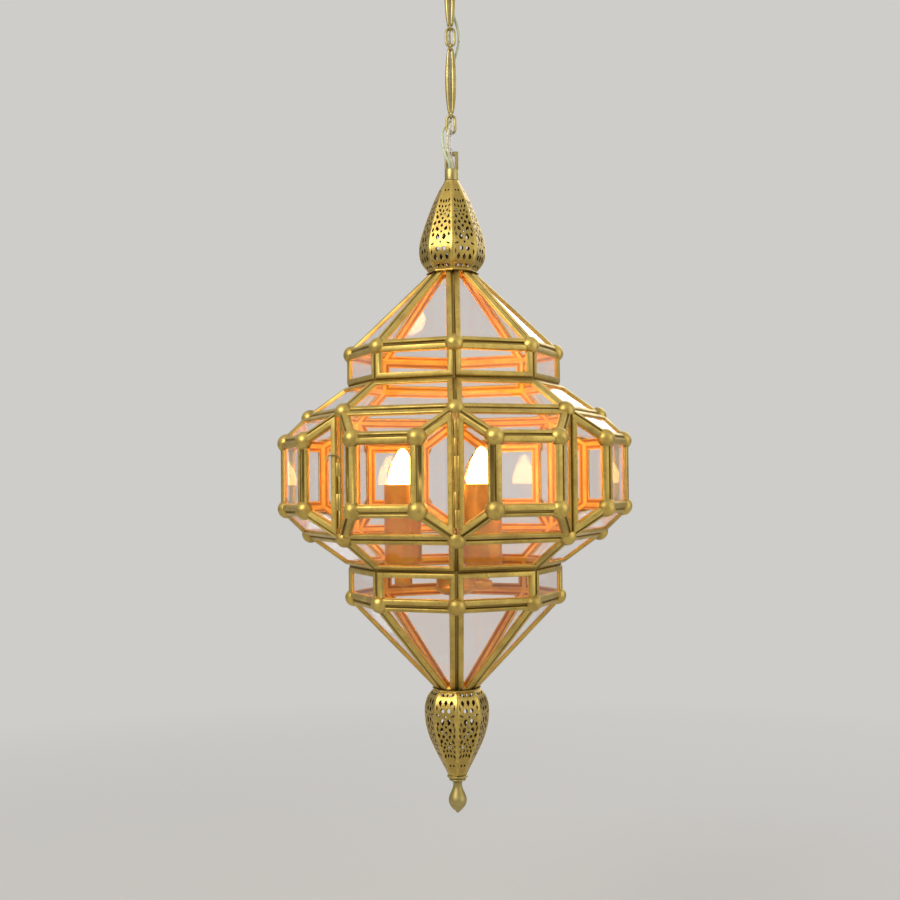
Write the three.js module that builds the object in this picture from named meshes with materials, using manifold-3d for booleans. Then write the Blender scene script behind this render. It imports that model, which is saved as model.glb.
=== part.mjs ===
// Moroccan pendant lantern: an eight-sided body of glass set in beaded brass borders, with eight bays
// standing out round its waist, pierced caps at both ends and a chain of spindle links up to the ceiling.
// Millimetres, +Z up. The origin is the middle of the ceiling face, and the front spine faces -Y.

import * as THREE from 'three';
import { mergeVertices } from 'three/addons/utils/BufferGeometryUtils.js';
import Module from 'manifold-3d';

const wasm = await Module();
wasm.setup();

// Fits between pieces
const SEAT_GAP = 0.3;
const SOLDER_OVERLAP = 0.1;

// Glazed body: corner radii, and heights above or below its middle plane
const SIDES = 8;
const CONE_TIP_RADIUS = 17;
const CONE_TOP_HEIGHT = 227;
const CONE_BOTTOM_DEPTH = 236;
const BAND_RADIUS = 115;
const BAND_OUTER_HEIGHT = 134.3;
const BAND_INNER_HEIGHT = 97.1;
const SHOULDER_RADIUS = 162;
const SHOULDER_HEIGHT = 63.3;
const BAY_FRONT_WIDTH = 72.4;
const BAY_FRONT_HEIGHT = 73.6;
const BAY_PROJECTION = 34.1;

// Beaded borders, their soldered balls and the glass behind them
const BORDER_WIDTH = 7.4;
const BORDER_TIP_WIDTH = 9;
const BORDER_RISE = 3;
const BORDER_BACK = 1.2;
const BEAD_SIDE_SHARE = 0.35;
const CORNER_BALL_RADIUS = 9.5;
const BAY_BALL_RADIUS = 10.5;
const GLASS_THICKNESS = 2;
const GLASS_EDGE_INSET = 2.6;
const DOOR_CORNER_CLEARANCE = 2.5;

// Door hinge on the front spine and latch on the spine left of the door
const KNUCKLE_RADIUS = 2.4;
const KNUCKLE_SLOT = 2.9;
const KNUCKLE_BORDER_WIDTH = 6;
const KNUCKLE_OUTSET = 2;
const PIN_RADIUS = 1.1;
const PIN_CLEARANCE = 0.3;
const HINGE_HALF_HEIGHT = 52.8;
const HINGE_KNUCKLES = [17.9, 17.4, 35, 17.4, 17.9];
const LATCH_FOOT_DEPTH = 53;
const LATCH_KNUCKLES = [14.2, 17.4, 17.2, 17.2];
const LATCH_PIN_ROUTE = [
  [0, 2, -53.4], [0, 2, 5], [0, 2, 13.6], [0.2, 3.2, 17.5], [2, 6.5, 20.5], [5, 9.2, 21], [8, 11, 19.6],
  [9, 11.8, 16.8], [7.6, 11.2, 14.6],
];
const LEAF_LENGTH = 3;
const LEAF_THICKNESS = 1.6;
const GLASS_BACK_INSET = 5.2;

// Pierced caps
const CAP_WALL = 1.6;
const CAP_CURVE = { belly: 0.29, neck: 0.33, taper: 0.45 };
const TOP_CAP = { rim: 28, belly: 37.1, bellyRise: 28.2, neck: 8.2, height: 103.6 };
const BOTTOM_CAP = { rim: 26, belly: 35.6, bellyRise: 25, neck: 10.7, height: 95 };
const PIERCING_DEPTH = 12;
const PIERCING_BELLY = 0.4;
const PIERCING_SPREAD = 0.25;
const PIERCING_LENGTH = 9;
const PIERCING_WIDTH = 4.6;

// Hanging gear above and below the caps
const TUBE_RADIUS = 5.2;
const TUBE_BORE = 4.4;
const THREAD_LENGTH = 7;
const COLLAR_RADIUS = 7.65;
const COLLAR_HEIGHT = 12.4;
const STIRRUP_HEIGHT = 20.3;
const STIRRUP_DEPTH = 3.4;
const STIRRUP_LEG = 3.4;
const STIRRUP_BAR = 5;
const FINIAL_DISC_RADIUS = 11.3;
const FINIAL_NECK_RADIUS = 5.8;
const FINIAL_BULB_RADIUS = 10;
const FINIAL_LENGTH = 42;
const FINIAL_DISC_HEIGHT = 5;
// Steps between the disc and the neck: radius, and depth below the finial's top
const FINIAL_STEPS = [[7.8, 6.5], [8.6, 9], [FINIAL_NECK_RADIUS, 11]];
const FINIAL_NECK_DEPTH = 17;
const FINIAL_BULB_DEPTH = 25;
const FINIAL_TAPER_DEPTH = 33;
const FINIAL_POINT = 2;

// Chain: small oval rings and long spindle links with upright eyes
const RING_WIRE = 1.5;
const RING_RADIUS = 4.5;
const RING_PITCH = 19.6;
const EYE_WIRE = 1.2;
const EYE_RADIUS = 3.9;
const LINK_SPAN = 78.1;
const SPINDLE_RADIUS = 2.6;
const SPINDLE_TIP_RADIUS = 1.3;
const SPINDLE_BOW = 2.9;
const SPINDLE_TIP_OFFSET = 1.6;
const SHACKLE_WIRE = 1.1;
const SHACKLE_RADIUS = 4;
const SHACKLE_PITCH = 30.5;
const LOOP_ARC_STEPS = 5;

// Ceiling fitting
const CANOPY_RADIUS = 55;
const CANOPY_HEIGHT = 38;
const CANOPY_FLOOR_RADIUS = 24;
const CANOPY_WALL = 1.2;
const CANOPY_FLARE = [14, 3];
const CANOPY_SHOULDER_INSET = 3;
const CANOPY_SHOULDER_SHARE = 0.55;
const CANOPY_SKIRT = 5;
const STRAP_LENGTH = 96;
const STRAP_WIDTH = 20;
const STRAP_THICKNESS = 2.5;
const STRAP_BOSS_RADIUS = 7;
const STRAP_BOSS_LENGTH = 14;
const HOOK_RADIUS = 3;
const HOOK_FLANGE_RADIUS = 7;
const HOOK_FLANGE_HEIGHT = 3;
const HOOK_NECK_SHARE = 0.8;
const HOOK_EYE_OVERLAP = 0.4;
const HOOK_TIP_CLEARANCE = 2;
const GRIP_OUTSET = 15;
const GRIP_RADIUS = 8;
const GRIP_NECK_RADIUS = 5.9;
const GRIP_BORE = 4.8;
const GRIP_HEIGHT = 7;
const GRIP_NECK_LENGTH = 5;
const GRIP_CHAMFER = [1.6, 2];
const STRAP_HOLE_RADIUS = 2.4;
const STRAP_HOLE_PLACE = 38;

// Candle lights
const CANDLE_PLACES = ['front', 'back', 'left'];
const FIRST_CANDLE_ANGLE = Math.PI / 6;
const CANDLE_CIRCLE = 57;
const SLEEVE_RADIUS = 20.5;
const SLEEVE_WALL = 1.3;
const SLEEVE_FOOT_RADIUS = 12;
const SLEEVE_TOP_DEPTH = 10;
const SLEEVE_LENGTH = 87.6;
// The sleeve's rounded foot: distance in from its outside, and height
const SLEEVE_FOOT_CURVE = [[4, 0], [1, 2.5], [0, 6]];
const SLEEVE_FLOOR_CURVE = [3.6, 6.4];
const PAN_RADIUS = 15;
const PAN_HEIGHT = 8;
const PAN_RIM = 1.6;
const PAN_NECK_SHARE = 0.6;
const PAN_NUT_CHAMFER = 3;
const ARM_WIDTH = 8;
const ARM_THICKNESS = 6;
const PAN_NUT_RADIUS = 11;
const PAN_NUT_HEIGHT = 10;
const HUB_RADIUS = 22;
const HUB_HEIGHT = 26;
const HUB_FOOT_SHARE = 0.6;
const HUB_FOOT_RISE = 5;
const HUB_FOOT_DEPTH = 131;
const LAMPHOLDER_RADIUS = 11;
const LAMPHOLDER_HEIGHT = 52;
const LAMPHOLDER_SOCKET = 30;
const BULB_RADIUS = 17.4;
const BULB_CAP_RADIUS = 7;
const BULB_LENGTH = 100;
const BULB_CAP_LENGTH = 28;
const BULB_TIP_HEIGHT = 30;
// Shares of the envelope's height, and of its radius near the tip
const BULB_SHAPE = { swell: 0.14, belly: 0.38, widest: 0.53, taper: 0.74, tip: 0.88, slimness: 0.45 };

// Wires, through points above the lantern's middle plane chosen by hand
const FLEX_RADIUS = 1.8;
const EARTH_RADIUS = 1.6;
const WIRE_SIDES = 8;
const WIRE_STEP = 10;
const FLEX_ROUTE = [
  [-2.3, 15, 624], [-2.3, 15, 604], [-2.4, 10.5, 588], [-2.4, 7.8, 570], [-2.4, 7.7, 510],
  [-0.8, 7.7, 488], [-2.4, 7.7, 465], [-2.4, 7.7, 412], [-0.9, 7.8, 397.5], [-0.3, 4.2, 389.4],
  [-0.3, 0, 387.8], [-0.5, -4, 386.4], [-2.2, -7.2, 381], [-3.8, -7, 374], [-4.4, -6.4, 364],
  [-3.6, -6.2, 355], [-0.6, -5.2, 348.5], [1.4, -1.9, 342.4], [1.8, -0.2, 337], [1.8, -0.2, 329],
];
const EARTH_ROUTE = [
  [2.1, 15, 624], [2.1, 15, 604], [2.4, 11, 588], [2.6, 7.8, 570], [2.8, 7.8, 520],
  [9.2, 6.6, 494], [9.2, 6.5, 480], [3.4, 7.7, 456], [2.4, 7.8, 420], [0.6, 11.6, 402],
  [-5.4, 9.4, 390], [-9.4, 2.6, 381], [-9.8, -3, 373], [-9.2, -5.4, 364], [-7.6, -6.2, 355],
  [-4.8, -5.6, 348.6], [-2.2, -3.1, 343], [-2.1, -0.6, 338.4], [-2.1, 0, 329],
];

const HALF_SECTOR = Math.PI / SIDES;

// Finishes
const finish = (color, roughness, metalness) =>
  new THREE.MeshStandardMaterial({ color, roughness, metalness });
const antiqueBrass = () => finish(0x9c8a45, 0.42, 1);
const polishedBrass = () => finish(0xc9ab5a, 0.3, 1);
const steel = () => finish(0xb9b9b4, 0.35, 1);
const clearGlass = () => finish(0xd9d2d6, 0.05, 0);
const litGlass = () => finish(0xfff2cf, 0.2, 0);
const porcelain = () => finish(0xe9e4d6, 0.5, 0);
const clearSleeving = () => finish(0xc9c08e, 0.35, 0);
const earthSleeving = () => finish(0xc3cc9a, 0.45, 0);

// Solids: faceted geometry in, joined or cut geometry out

/** A solid from a list of points and the triangles between them. */
function solidFrom(points, triangles) {
  const mesh = new wasm.Mesh({
    numProp: 3,
    vertProperties: Float32Array.from(points.flatMap((point) => [point.x, point.y, point.z])),
    triVerts: Uint32Array.from(triangles.flat()),
  });
  return new wasm.Manifold(mesh);
}

/** A solid from a closed three.js geometry. */
function solidOf(geometry) {
  const bare = geometry.clone();
  bare.deleteAttribute('normal');
  bare.deleteAttribute('uv');
  const merged = mergeVertices(bare, 1e-4);
  const corners = merged.index.array;
  const kept = [];
  for (let i = 0; i < corners.length; i += 3) {
    const [a, b, c] = [corners[i], corners[i + 1], corners[i + 2]];
    if (a !== b && b !== c && c !== a) kept.push(a, b, c);
  }
  const mesh = new wasm.Mesh({
    numProp: 3,
    vertProperties: Float32Array.from(merged.attributes.position.array),
    triVerts: Uint32Array.from(kept),
  });
  return new wasm.Manifold(mesh);
}

/** Geometry of a finished solid. */
function geometryOf(solid) {
  const mesh = solid.getMesh();
  const geometry = new THREE.BufferGeometry();
  geometry.setAttribute('position', new THREE.BufferAttribute(Float32Array.from(mesh.vertProperties), 3));
  geometry.setIndex(new THREE.BufferAttribute(Uint32Array.from(mesh.triVerts), 1));
  geometry.computeVertexNormals();
  return geometry;
}

const joined = (solids) => solids.reduce((whole, solid) => whole.add(solid));
const without = (solid, cutters) => cutters.reduce((rest, cutter) => rest.subtract(cutter), solid);

/** An upright revolved solid from [radius, height] points that close on themselves or on the axis. */
function turned(profile, segments, phase = 0) {
  const points = profile.map(([radius, height]) => new THREE.Vector2(radius, height));
  const hollow = profile.every(([radius]) => radius > 0);
  if (hollow) points.push(points[0].clone());
  return solidOf(new THREE.LatheGeometry(points, segments, phase).rotateX(Math.PI / 2));
}

/** An upright cylinder from one height to another, standing at x, y. */
function cylinder(radius, low, high, segments, x = 0, y = 0) {
  const geometry = new THREE.CylinderGeometry(radius, radius, high - low, segments).rotateX(Math.PI / 2);
  return solidOf(geometry.translate(x, y, (low + high) / 2));
}

/** A ball on a ring round the axis, its facets turned with its place so that neighbours can fit it. */
function ball(radius, ringRadius, angle, height) {
  const geometry = new THREE.IcosahedronGeometry(radius, 0);
  return solidOf(geometry.translate(0, -ringRadius, height).rotateZ(angle));
}

/** A block between two opposite corners. */
function block([lowX, lowY, lowZ], [highX, highY, highZ]) {
  const geometry = new THREE.BoxGeometry(highX - lowX, highY - lowY, highZ - lowZ);
  return solidOf(geometry.translate((lowX + highX) / 2, (lowY + highY) / 2, (lowZ + highZ) / 2));
}

/** A round rod of varying thickness swept through centres that lie in one plane. */
function sweptRod({ centres, radii, planeNormal, sides, closed }) {
  const count = centres.length;
  const points = [];
  const triangles = [];
  centres.forEach((centre, i) => {
    const ahead = closed ? centres[(i + 1) % count] : centres[Math.min(i + 1, count - 1)];
    const behind = closed ? centres[(i + count - 1) % count] : centres[Math.max(i - 1, 0)];
    const along = ahead.clone().sub(behind).normalize();
    const across = planeNormal.clone().cross(along);
    for (let k = 0; k < sides; k += 1) {
      const turn = (2 * Math.PI * (k + 0.5)) / sides;
      const reach = across.clone().multiplyScalar(radii[i] * Math.cos(turn));
      reach.addScaledVector(planeNormal, radii[i] * Math.sin(turn));
      points.push(centre.clone().add(reach));
    }
  });
  const runs = closed ? count : count - 1;
  for (let i = 0; i < runs; i += 1) {
    const near = i * sides;
    const far = ((i + 1) % count) * sides;
    for (let k = 0; k < sides; k += 1) {
      const next = (k + 1) % sides;
      triangles.push([near + k, near + next, far + next], [near + k, far + next, far + k]);
    }
  }
  if (!closed) {
    const last = (count - 1) * sides;
    for (let k = 1; k < sides - 1; k += 1) {
      triangles.push([0, k + 1, k], [last, last + k, last + k + 1]);
    }
  }
  return solidFrom(points, triangles);
}

/** A closed loop of wire with two straight sides, standing in the plane across planeNormal. */
function wireLoop({ halfWidth, pitch, wire, across, planeNormal, middle, sides = 6 }) {
  const up = new THREE.Vector3(0, 0, 1);
  const straight = pitch / 2 - halfWidth;
  const centres = [];
  [1, -1].forEach((side) => {
    for (let i = 0; i <= LOOP_ARC_STEPS; i += 1) {
      const turn = (Math.PI * i) / LOOP_ARC_STEPS + (side > 0 ? 0 : Math.PI);
      const centre = middle.clone().addScaledVector(across, halfWidth * Math.cos(turn));
      centre.addScaledVector(up, halfWidth * Math.sin(turn) + side * straight);
      centres.push(centre);
    }
  });
  const round = straight < 0.01 ? centres.filter((_, i) => i % (LOOP_ARC_STEPS + 1) !== 0) : centres;
  return sweptRod({ centres: round, radii: round.map(() => wire), planeNormal, sides, closed: true });
}

/** A round wire through hand-chosen points. */
function wireThrough(route, radius, sides, step) {
  const path = new THREE.CatmullRomCurve3(route, false, 'centripetal');
  const section = new THREE.Shape();
  for (let k = 0; k < sides; k += 1) {
    const turn = (2 * Math.PI * k) / sides;
    if (k === 0) section.moveTo(radius, 0);
    else section.lineTo(radius * Math.cos(turn), radius * Math.sin(turn));
  }
  section.closePath();
  const steps = Math.round(path.getLength() / step);
  return solidOf(new THREE.ExtrudeGeometry(section, { steps, extrudePath: path, bevelEnabled: false }));
}

// Glass panes and their beaded borders. Angles run round the lantern from the front, at -Y.

const onRing = (radius, angle, height) =>
  new THREE.Vector3(radius * Math.sin(angle), -radius * Math.cos(angle), height);

/** The plane of four corners taken anticlockwise from outside, with what lies across each edge. */
function paneOf(corners, neighbours) {
  const normal = corners[1].clone().sub(corners[0]).cross(corners[3].clone().sub(corners[0])).normalize();
  const edges = corners.map((corner, i) => {
    const along = corners[(i + 1) % 4].clone().sub(corner).normalize();
    const inward = normal.clone().cross(along);
    const outside = neighbours[i] ?? normal;
    const middle = normal.clone().add(outside).normalize();
    return { inward, lean: middle.dot(inward) / middle.dot(normal) };
  });
  return { corners, normal, edges };
}

/** The point at one corner of a pane, a height above it and inset from its two mitre planes. */
function cornerAt(pane, index, height, insets) {
  const before = (index + 3) % 4;
  const [previous, current] = [pane.edges[before], pane.edges[index]];
  const n = pane.normal;
  const planes = new THREE.Matrix3().set(
    n.x, n.y, n.z,
    previous.inward.x, previous.inward.y, previous.inward.z,
    current.inward.x, current.inward.y, current.inward.z,
  );
  const reach = new THREE.Vector3(
    height,
    height * previous.lean + insets[before],
    height * current.lean + insets[index],
  );
  return reach.applyMatrix3(planes.invert()).add(pane.corners[index]);
}

const EVEN_WIDTHS = [BORDER_WIDTH, BORDER_WIDTH, BORDER_WIDTH, BORDER_WIDTH];

/**
 * The beaded border of one pane, mitred at its corners, as loose faces. Edges run bottom, right, top, left.
 * Where an edge is soldered to a border that has the same corners, its outer wall is left out.
 */
function borderFaces(pane, { gaps, widths = EVEN_WIDTHS, soldered = [] }) {
  const side = BEAD_SIDE_SHARE * BORDER_RISE;
  const bead = [[1, -BORDER_BACK], [1, side], [0.5, BORDER_RISE], [0, side], [0, -BORDER_BACK]];
  const corners = [0, 1, 2, 3].map((i) =>
    bead.map(([share, height]) =>
      cornerAt(pane, i, height, widths.map((width, edge) => gaps[edge] + share * width))));
  const faces = [];
  corners.forEach((near, edge) => {
    const far = corners[(edge + 1) % 4];
    near.forEach((point, k) => {
      const next = (k + 1) % bead.length;
      const isWall = k === bead.length - 2;
      if (isWall && soldered.includes(edge)) return;
      faces.push([point, near[next], far[next]], [point, far[next], far[k]]);
    });
  });
  return faces;
}

/** A solid from loose faces that close on one another. */
const solidOfFaces = (faces) => solidOf(new THREE.BufferGeometry().setFromPoints(faces.flat()));

/** A block with eight corners: four at the front anticlockwise from outside, four behind them. */
function sixSided(front, back) {
  const triangles = [[0, 1, 2], [0, 2, 3], [4, 6, 5], [4, 7, 6]];
  for (let i = 0; i < 4; i += 1) {
    const next = (i + 1) % 4;
    triangles.push([i, 4 + i, 4 + next], [i, 4 + next, next]);
  }
  return solidFrom([...front, ...back], triangles);
}

// Tiers: rings of eight upright or sloping panes, from the lower ring to the upper one

/** Outward normal of a tier's front pane. */
function tierNormal([lowRadius, lowHeight], [highRadius, highHeight]) {
  const run = (highRadius - lowRadius) * Math.cos(HALF_SECTOR);
  const rise = highHeight - lowHeight;
  return new THREE.Vector3(0, -rise, -run).normalize();
}

const turnedVector = (vector, angle) => vector.clone().applyAxisAngle(new THREE.Vector3(0, 0, 1), angle);

/** The front pane of a tier, which knows the slopes above and below it. */
function tierPane(low, high, normalBelow, normalAbove) {
  const corners = [
    onRing(low[0], -HALF_SECTOR, low[1]), onRing(low[0], HALF_SECTOR, low[1]),
    onRing(high[0], HALF_SECTOR, high[1]), onRing(high[0], -HALF_SECTOR, high[1]),
  ];
  const own = tierNormal(low, high);
  const beside = [turnedVector(own, 2 * HALF_SECTOR), turnedVector(own, -2 * HALF_SECTOR)];
  return paneOf(corners, [normalBelow, beside[0], normalAbove, beside[1]]);
}

/** The closed body behind the eight panes of a tier, from as deep as their borders reach inwards. */
function behindTier(pane) {
  const at = (index, depth) => {
    const point = cornerAt(pane, index, -depth, [0, 0, 0, 0]);
    return [Math.hypot(point.x, point.y), point.z];
  };
  const [near, deep] = [BORDER_BACK - SOLDER_OVERLAP, CORNER_BALL_RADIUS];
  const wall = [at(1, deep), at(1, near), at(2, near), at(2, deep)];
  return turned([[0, wall[0][1]], ...wall, [0, wall[3][1]]], SIDES, HALF_SECTOR);
}

/** The border ring of a tier: eight soldered borders, with balls at some corners that stop at the glass. */
function tierFrame({ pane, tipEdge, ballRing, ballBacks, cutRing }) {
  const widths = [0, 1, 2, 3].map((edge) => (edge === tipEdge ? BORDER_TIP_WIDTH : BORDER_WIDTH));
  const sector = borderFaces(pane, { gaps: [SEAT_GAP / 2, 0, SEAT_GAP / 2, 0], widths, soldered: [1, 3] });
  const places = Array.from({ length: SIDES }, (_, k) => 2 * HALF_SECTOR * k);
  const ring = solidOfFaces(
    places.flatMap((angle) => sector.map((face) => face.map((point) => turnedVector(point, angle)))),
  );
  const ballsOn = ([radius, height], size) =>
    places.map((angle) => ball(size, radius, angle + HALF_SECTOR, height));
  if (cutRing) return without(ring, ballsOn(cutRing, CORNER_BALL_RADIUS + SEAT_GAP));
  const backs = ballBacks.map(behindTier);
  return joined([ring, ...ballsOn(ballRing, CORNER_BALL_RADIUS).map((solid) => without(solid, backs))]);
}

/** The eight panes of a tier as one thin faceted shell seated behind its borders. */
function tierGlass(pane) {
  const front = -(BORDER_BACK + SEAT_GAP);
  const back = front - GLASS_THICKNESS;
  const insets = [GLASS_EDGE_INSET, 0, GLASS_EDGE_INSET, 0];
  const profile = [[1, front], [2, front], [2, back], [1, back]].map(([index, height]) => {
    const point = cornerAt(pane, index, height, insets);
    return [Math.hypot(point.x, point.y), point.z];
  });
  return turned(profile, SIDES, HALF_SECTOR);
}

// The wall from top to bottom, as the rings between its tiers
const RINGS = {
  coneTop: [CONE_TIP_RADIUS, CONE_TOP_HEIGHT],
  upperOuter: [BAND_RADIUS, BAND_OUTER_HEIGHT],
  upperInner: [BAND_RADIUS, BAND_INNER_HEIGHT],
  upperShoulder: [SHOULDER_RADIUS, SHOULDER_HEIGHT],
  lowerShoulder: [SHOULDER_RADIUS, -SHOULDER_HEIGHT],
  lowerInner: [BAND_RADIUS, -BAND_INNER_HEIGHT],
  lowerOuter: [BAND_RADIUS, -BAND_OUTER_HEIGHT],
  coneBottom: [CONE_TIP_RADIUS, -CONE_BOTTOM_DEPTH],
};

const normalOf = (low, high) => tierNormal(RINGS[low], RINGS[high]);

// Bays: a front pane, two side panes on the spines and two sloping panes. Each faces -Y until it is turned.

const wallDistance = SHOULDER_RADIUS * Math.cos(HALF_SECTOR);
const frontDistance = wallDistance + BAY_PROJECTION;

/** The five panes of a bay, each knowing the panes that it meets. */
function bayPanes() {
  const spine = (side, end) => onRing(SHOULDER_RADIUS, side * HALF_SECTOR, end * SHOULDER_HEIGHT);
  const nose = (side, end) =>
    new THREE.Vector3((side * BAY_FRONT_WIDTH) / 2, -frontDistance, (end * BAY_FRONT_HEIGHT) / 2);
  const quads = {
    front: [nose(-1, -1), nose(1, -1), nose(1, 1), nose(-1, 1)],
    right: [nose(1, -1), spine(1, -1), spine(1, 1), nose(1, 1)],
    left: [spine(-1, -1), nose(-1, -1), nose(-1, 1), spine(-1, 1)],
    top: [nose(-1, 1), nose(1, 1), spine(1, 1), spine(-1, 1)],
    bottom: [spine(-1, -1), spine(1, -1), nose(1, -1), nose(-1, -1)],
  };
  const normal = (name) => paneOf(quads[name], []).normal;
  const [front, right, left, top, bottom] = Object.keys(quads).map(normal);
  const nextBay = (own, side) =>
    turnedVector(own.clone().multiply(new THREE.Vector3(-1, 1, 1)), side * 2 * HALF_SECTOR);
  return {
    front: paneOf(quads.front, [bottom, right, top, left]),
    right: paneOf(quads.right, [bottom, nextBay(right, 1), top, front]),
    left: paneOf(quads.left, [bottom, front, top, nextBay(left, -1)]),
    top: paneOf(quads.top, [front, right, normalOf('upperShoulder', 'upperInner'), left]),
    bottom: paneOf(quads.bottom, [normalOf('lowerInner', 'lowerShoulder'), right, front, left]),
  };
}

const bay = bayPanes();

/** Low and high ends of a row of knuckles, from the top one down, with a small gap between neighbours. */
function knuckleSpans(top, lengths) {
  let height = top;
  return lengths.map((length) => {
    const span = [height - length + SEAT_GAP / 2, height - SEAT_GAP / 2];
    height -= length;
    return span;
  });
}

const hingeSpans = knuckleSpans(HINGE_HALF_HEIGHT, HINGE_KNUCKLES);
const latchTop = LATCH_KNUCKLES.reduce((sum, length) => sum + length, -LATCH_FOOT_DEPTH);
const latchSpans = knuckleSpans(latchTop, LATCH_KNUCKLES);
const ofDoor = (spans) => spans.filter((_, i) => i % 2 === 1);
const ofBody = (spans) => spans.filter((_, i) => i % 2 === 0);

/** Knuckles on one spine of a bay, each with the leaf that solders it to the bay's side border. */
function knuckles(side, spans) {
  const pane = side > 0 ? bay.right : bay.left;
  const inward = pane.edges[side > 0 ? 1 : 3].inward;
  const axis = onRing(SHOULDER_RADIUS + KNUCKLE_OUTSET, side * HALF_SECTOR, 0);
  const bore = PIN_RADIUS + PIN_CLEARANCE;
  const leafStart = axis.clone().addScaledVector(inward, (KNUCKLE_RADIUS + bore) / 2);
  const leafEnd = leafStart.clone().addScaledVector(inward, LEAF_LENGTH);
  const half = pane.normal.clone().multiplyScalar(LEAF_THICKNESS / 2);
  const outline = [
    leafStart.clone().add(half), leafStart.clone().sub(half),
    leafEnd.clone().sub(half), leafEnd.clone().add(half),
  ];
  return spans.flatMap(([low, high]) => {
    const barrel = cylinder(KNUCKLE_RADIUS, low, high, 10, axis.x, axis.y);
    const hole = cylinder(bore, low - 1, high + 1, 10, axis.x, axis.y);
    const at = (height) => outline.map((point) => point.clone().setZ(height));
    const leaf = side > 0 ? sixSided(at(high), at(low)) : sixSided(at(low), at(high));
    return [barrel.add(leaf).subtract(hole)];
  });
}

/** The point where three planes meet, each given by its normal and a point on it. */
function meetingPoint(planes) {
  const normals = planes.map(([normal]) => normal);
  const rows = new THREE.Matrix3().set(...normals.flatMap((n) => [n.x, n.y, n.z]));
  const offsets = planes.map(([normal, point]) => normal.dot(point));
  return new THREE.Vector3(...offsets).applyMatrix3(rows.invert());
}

/** A bay's closed outline drawn in by a depth behind its panes, open at a distance in front of the wall. */
function bayOutline(depth, rimDistance) {
  const behind = (pane) => [pane.normal, pane.corners[0].clone().addScaledVector(pane.normal, -depth)];
  const [front, right, left] = [behind(bay.front), behind(bay.right), behind(bay.left)];
  const [top, bottom] = [behind(bay.top), behind(bay.bottom)];
  const rim = [new THREE.Vector3(0, -1, 0), new THREE.Vector3(0, -(wallDistance + rimDistance), 0)];
  const around = (face) =>
    [[face, left, bottom], [face, right, bottom], [face, right, top], [face, left, top]].map(meetingPoint);
  return sixSided(around(front), around(rim));
}

/** One bay frame. The spans are the knuckles that it carries on either spine, if that spine has any. */
function bayFrame({ leftSpans, rightSpans, spineClearance = SEAT_GAP }) {
  const slotDirection = new THREE.Vector3(Math.cos(HALF_SECTOR), Math.sin(HALF_SECTOR), 0);
  const slotInset = KNUCKLE_SLOT / Math.abs(bay.right.edges[1].inward.dot(slotDirection));
  const spineGap = (spans) => (spans ? slotInset : SEAT_GAP / 2);
  const spineWidth = (spans) => (spans ? KNUCKLE_BORDER_WIDTH : BORDER_WIDTH);
  const wide = BORDER_WIDTH;
  const upright = [
    borderFaces(bay.front, { gaps: [0, 0, 0, 0], soldered: [1, 3] }),
    borderFaces(bay.right, {
      gaps: [0, spineGap(rightSpans), 0, 0],
      widths: [wide, spineWidth(rightSpans), wide, wide],
      soldered: [3],
    }),
    borderFaces(bay.left, {
      gaps: [0, 0, 0, spineGap(leftSpans)],
      widths: [wide, wide, wide, spineWidth(leftSpans)],
      soldered: [1],
    }),
  ];
  const solder = -SOLDER_OVERLAP;
  const frames = [
    solidOfFaces(upright.flat()),
    solidOfFaces(borderFaces(bay.top, { gaps: [solder, solder, SEAT_GAP / 2, solder] })),
    solidOfFaces(borderFaces(bay.bottom, { gaps: [SEAT_GAP / 2, solder, solder, solder] })),
  ];
  const ends = [[-1, -1], [1, -1], [1, 1], [-1, 1]];
  const noseRing = Math.hypot(BAY_FRONT_WIDTH / 2, frontDistance);
  const noseAngle = Math.atan2(BAY_FRONT_WIDTH / 2, frontDistance);
  const behindPanes = bayOutline(BORDER_BACK - SOLDER_OVERLAP, 0);
  const noseBalls = ends.map(([side, end]) =>
    ball(BAY_BALL_RADIUS, noseRing, side * noseAngle, (end * BAY_FRONT_HEIGHT) / 2).subtract(behindPanes));
  const spineBalls = ends.map(([side, end]) =>
    ball(CORNER_BALL_RADIUS + spineClearance, SHOULDER_RADIUS, side * HALF_SECTOR, end * SHOULDER_HEIGHT));
  const body = without(joined([...frames, ...noseBalls]), spineBalls);
  return joined([body, ...knuckles(1, rightSpans ?? []), ...knuckles(-1, leftSpans ?? [])]);
}

/** The five panes of a bay as one thin shell behind the borders, open towards the lantern. */
function bayGlass() {
  const depth = BORDER_BACK + SEAT_GAP;
  const hollow = bayOutline(depth + GLASS_THICKNESS, GLASS_BACK_INSET - GLASS_THICKNESS);
  return bayOutline(depth, GLASS_BACK_INSET).subtract(hollow);
}

/** The loose pin through the latch knuckles, with its handle curled out over the next bay. */
function latchPin() {
  const out = onRing(1, -HALF_SECTOR, 0);
  const left = new THREE.Vector3(-Math.cos(HALF_SECTOR), -Math.sin(-HALF_SECTOR), 0);
  const spine = onRing(SHOULDER_RADIUS, -HALF_SECTOR, 0);
  const route = LATCH_PIN_ROUTE.map(([toLeft, outward, height]) =>
    spine.clone().addScaledVector(left, toLeft).addScaledVector(out, outward).setZ(height));
  return wireThrough(route, PIN_RADIUS, 6, 4);
}

// Caps, tube, collar and finial

/** A curve turned into [radius, height] points. */
const pointsOn = (curve, count) => curve.getPoints(count).map((point) => [point.x, point.y]);

/** The same profile a wall's thickness further in, in reverse order. */
function innerSide(profile, wall) {
  return profile
    .map(([radius, height], i) => {
      const [r0, h0] = profile[Math.max(i - 1, 0)];
      const [r1, h1] = profile[Math.min(i + 1, profile.length - 1)];
      const length = Math.hypot(r1 - r0, h1 - h0);
      return [radius - (wall * (h1 - h0)) / length, height + (wall * (r1 - r0)) / length];
    })
    .reverse();
}

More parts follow.
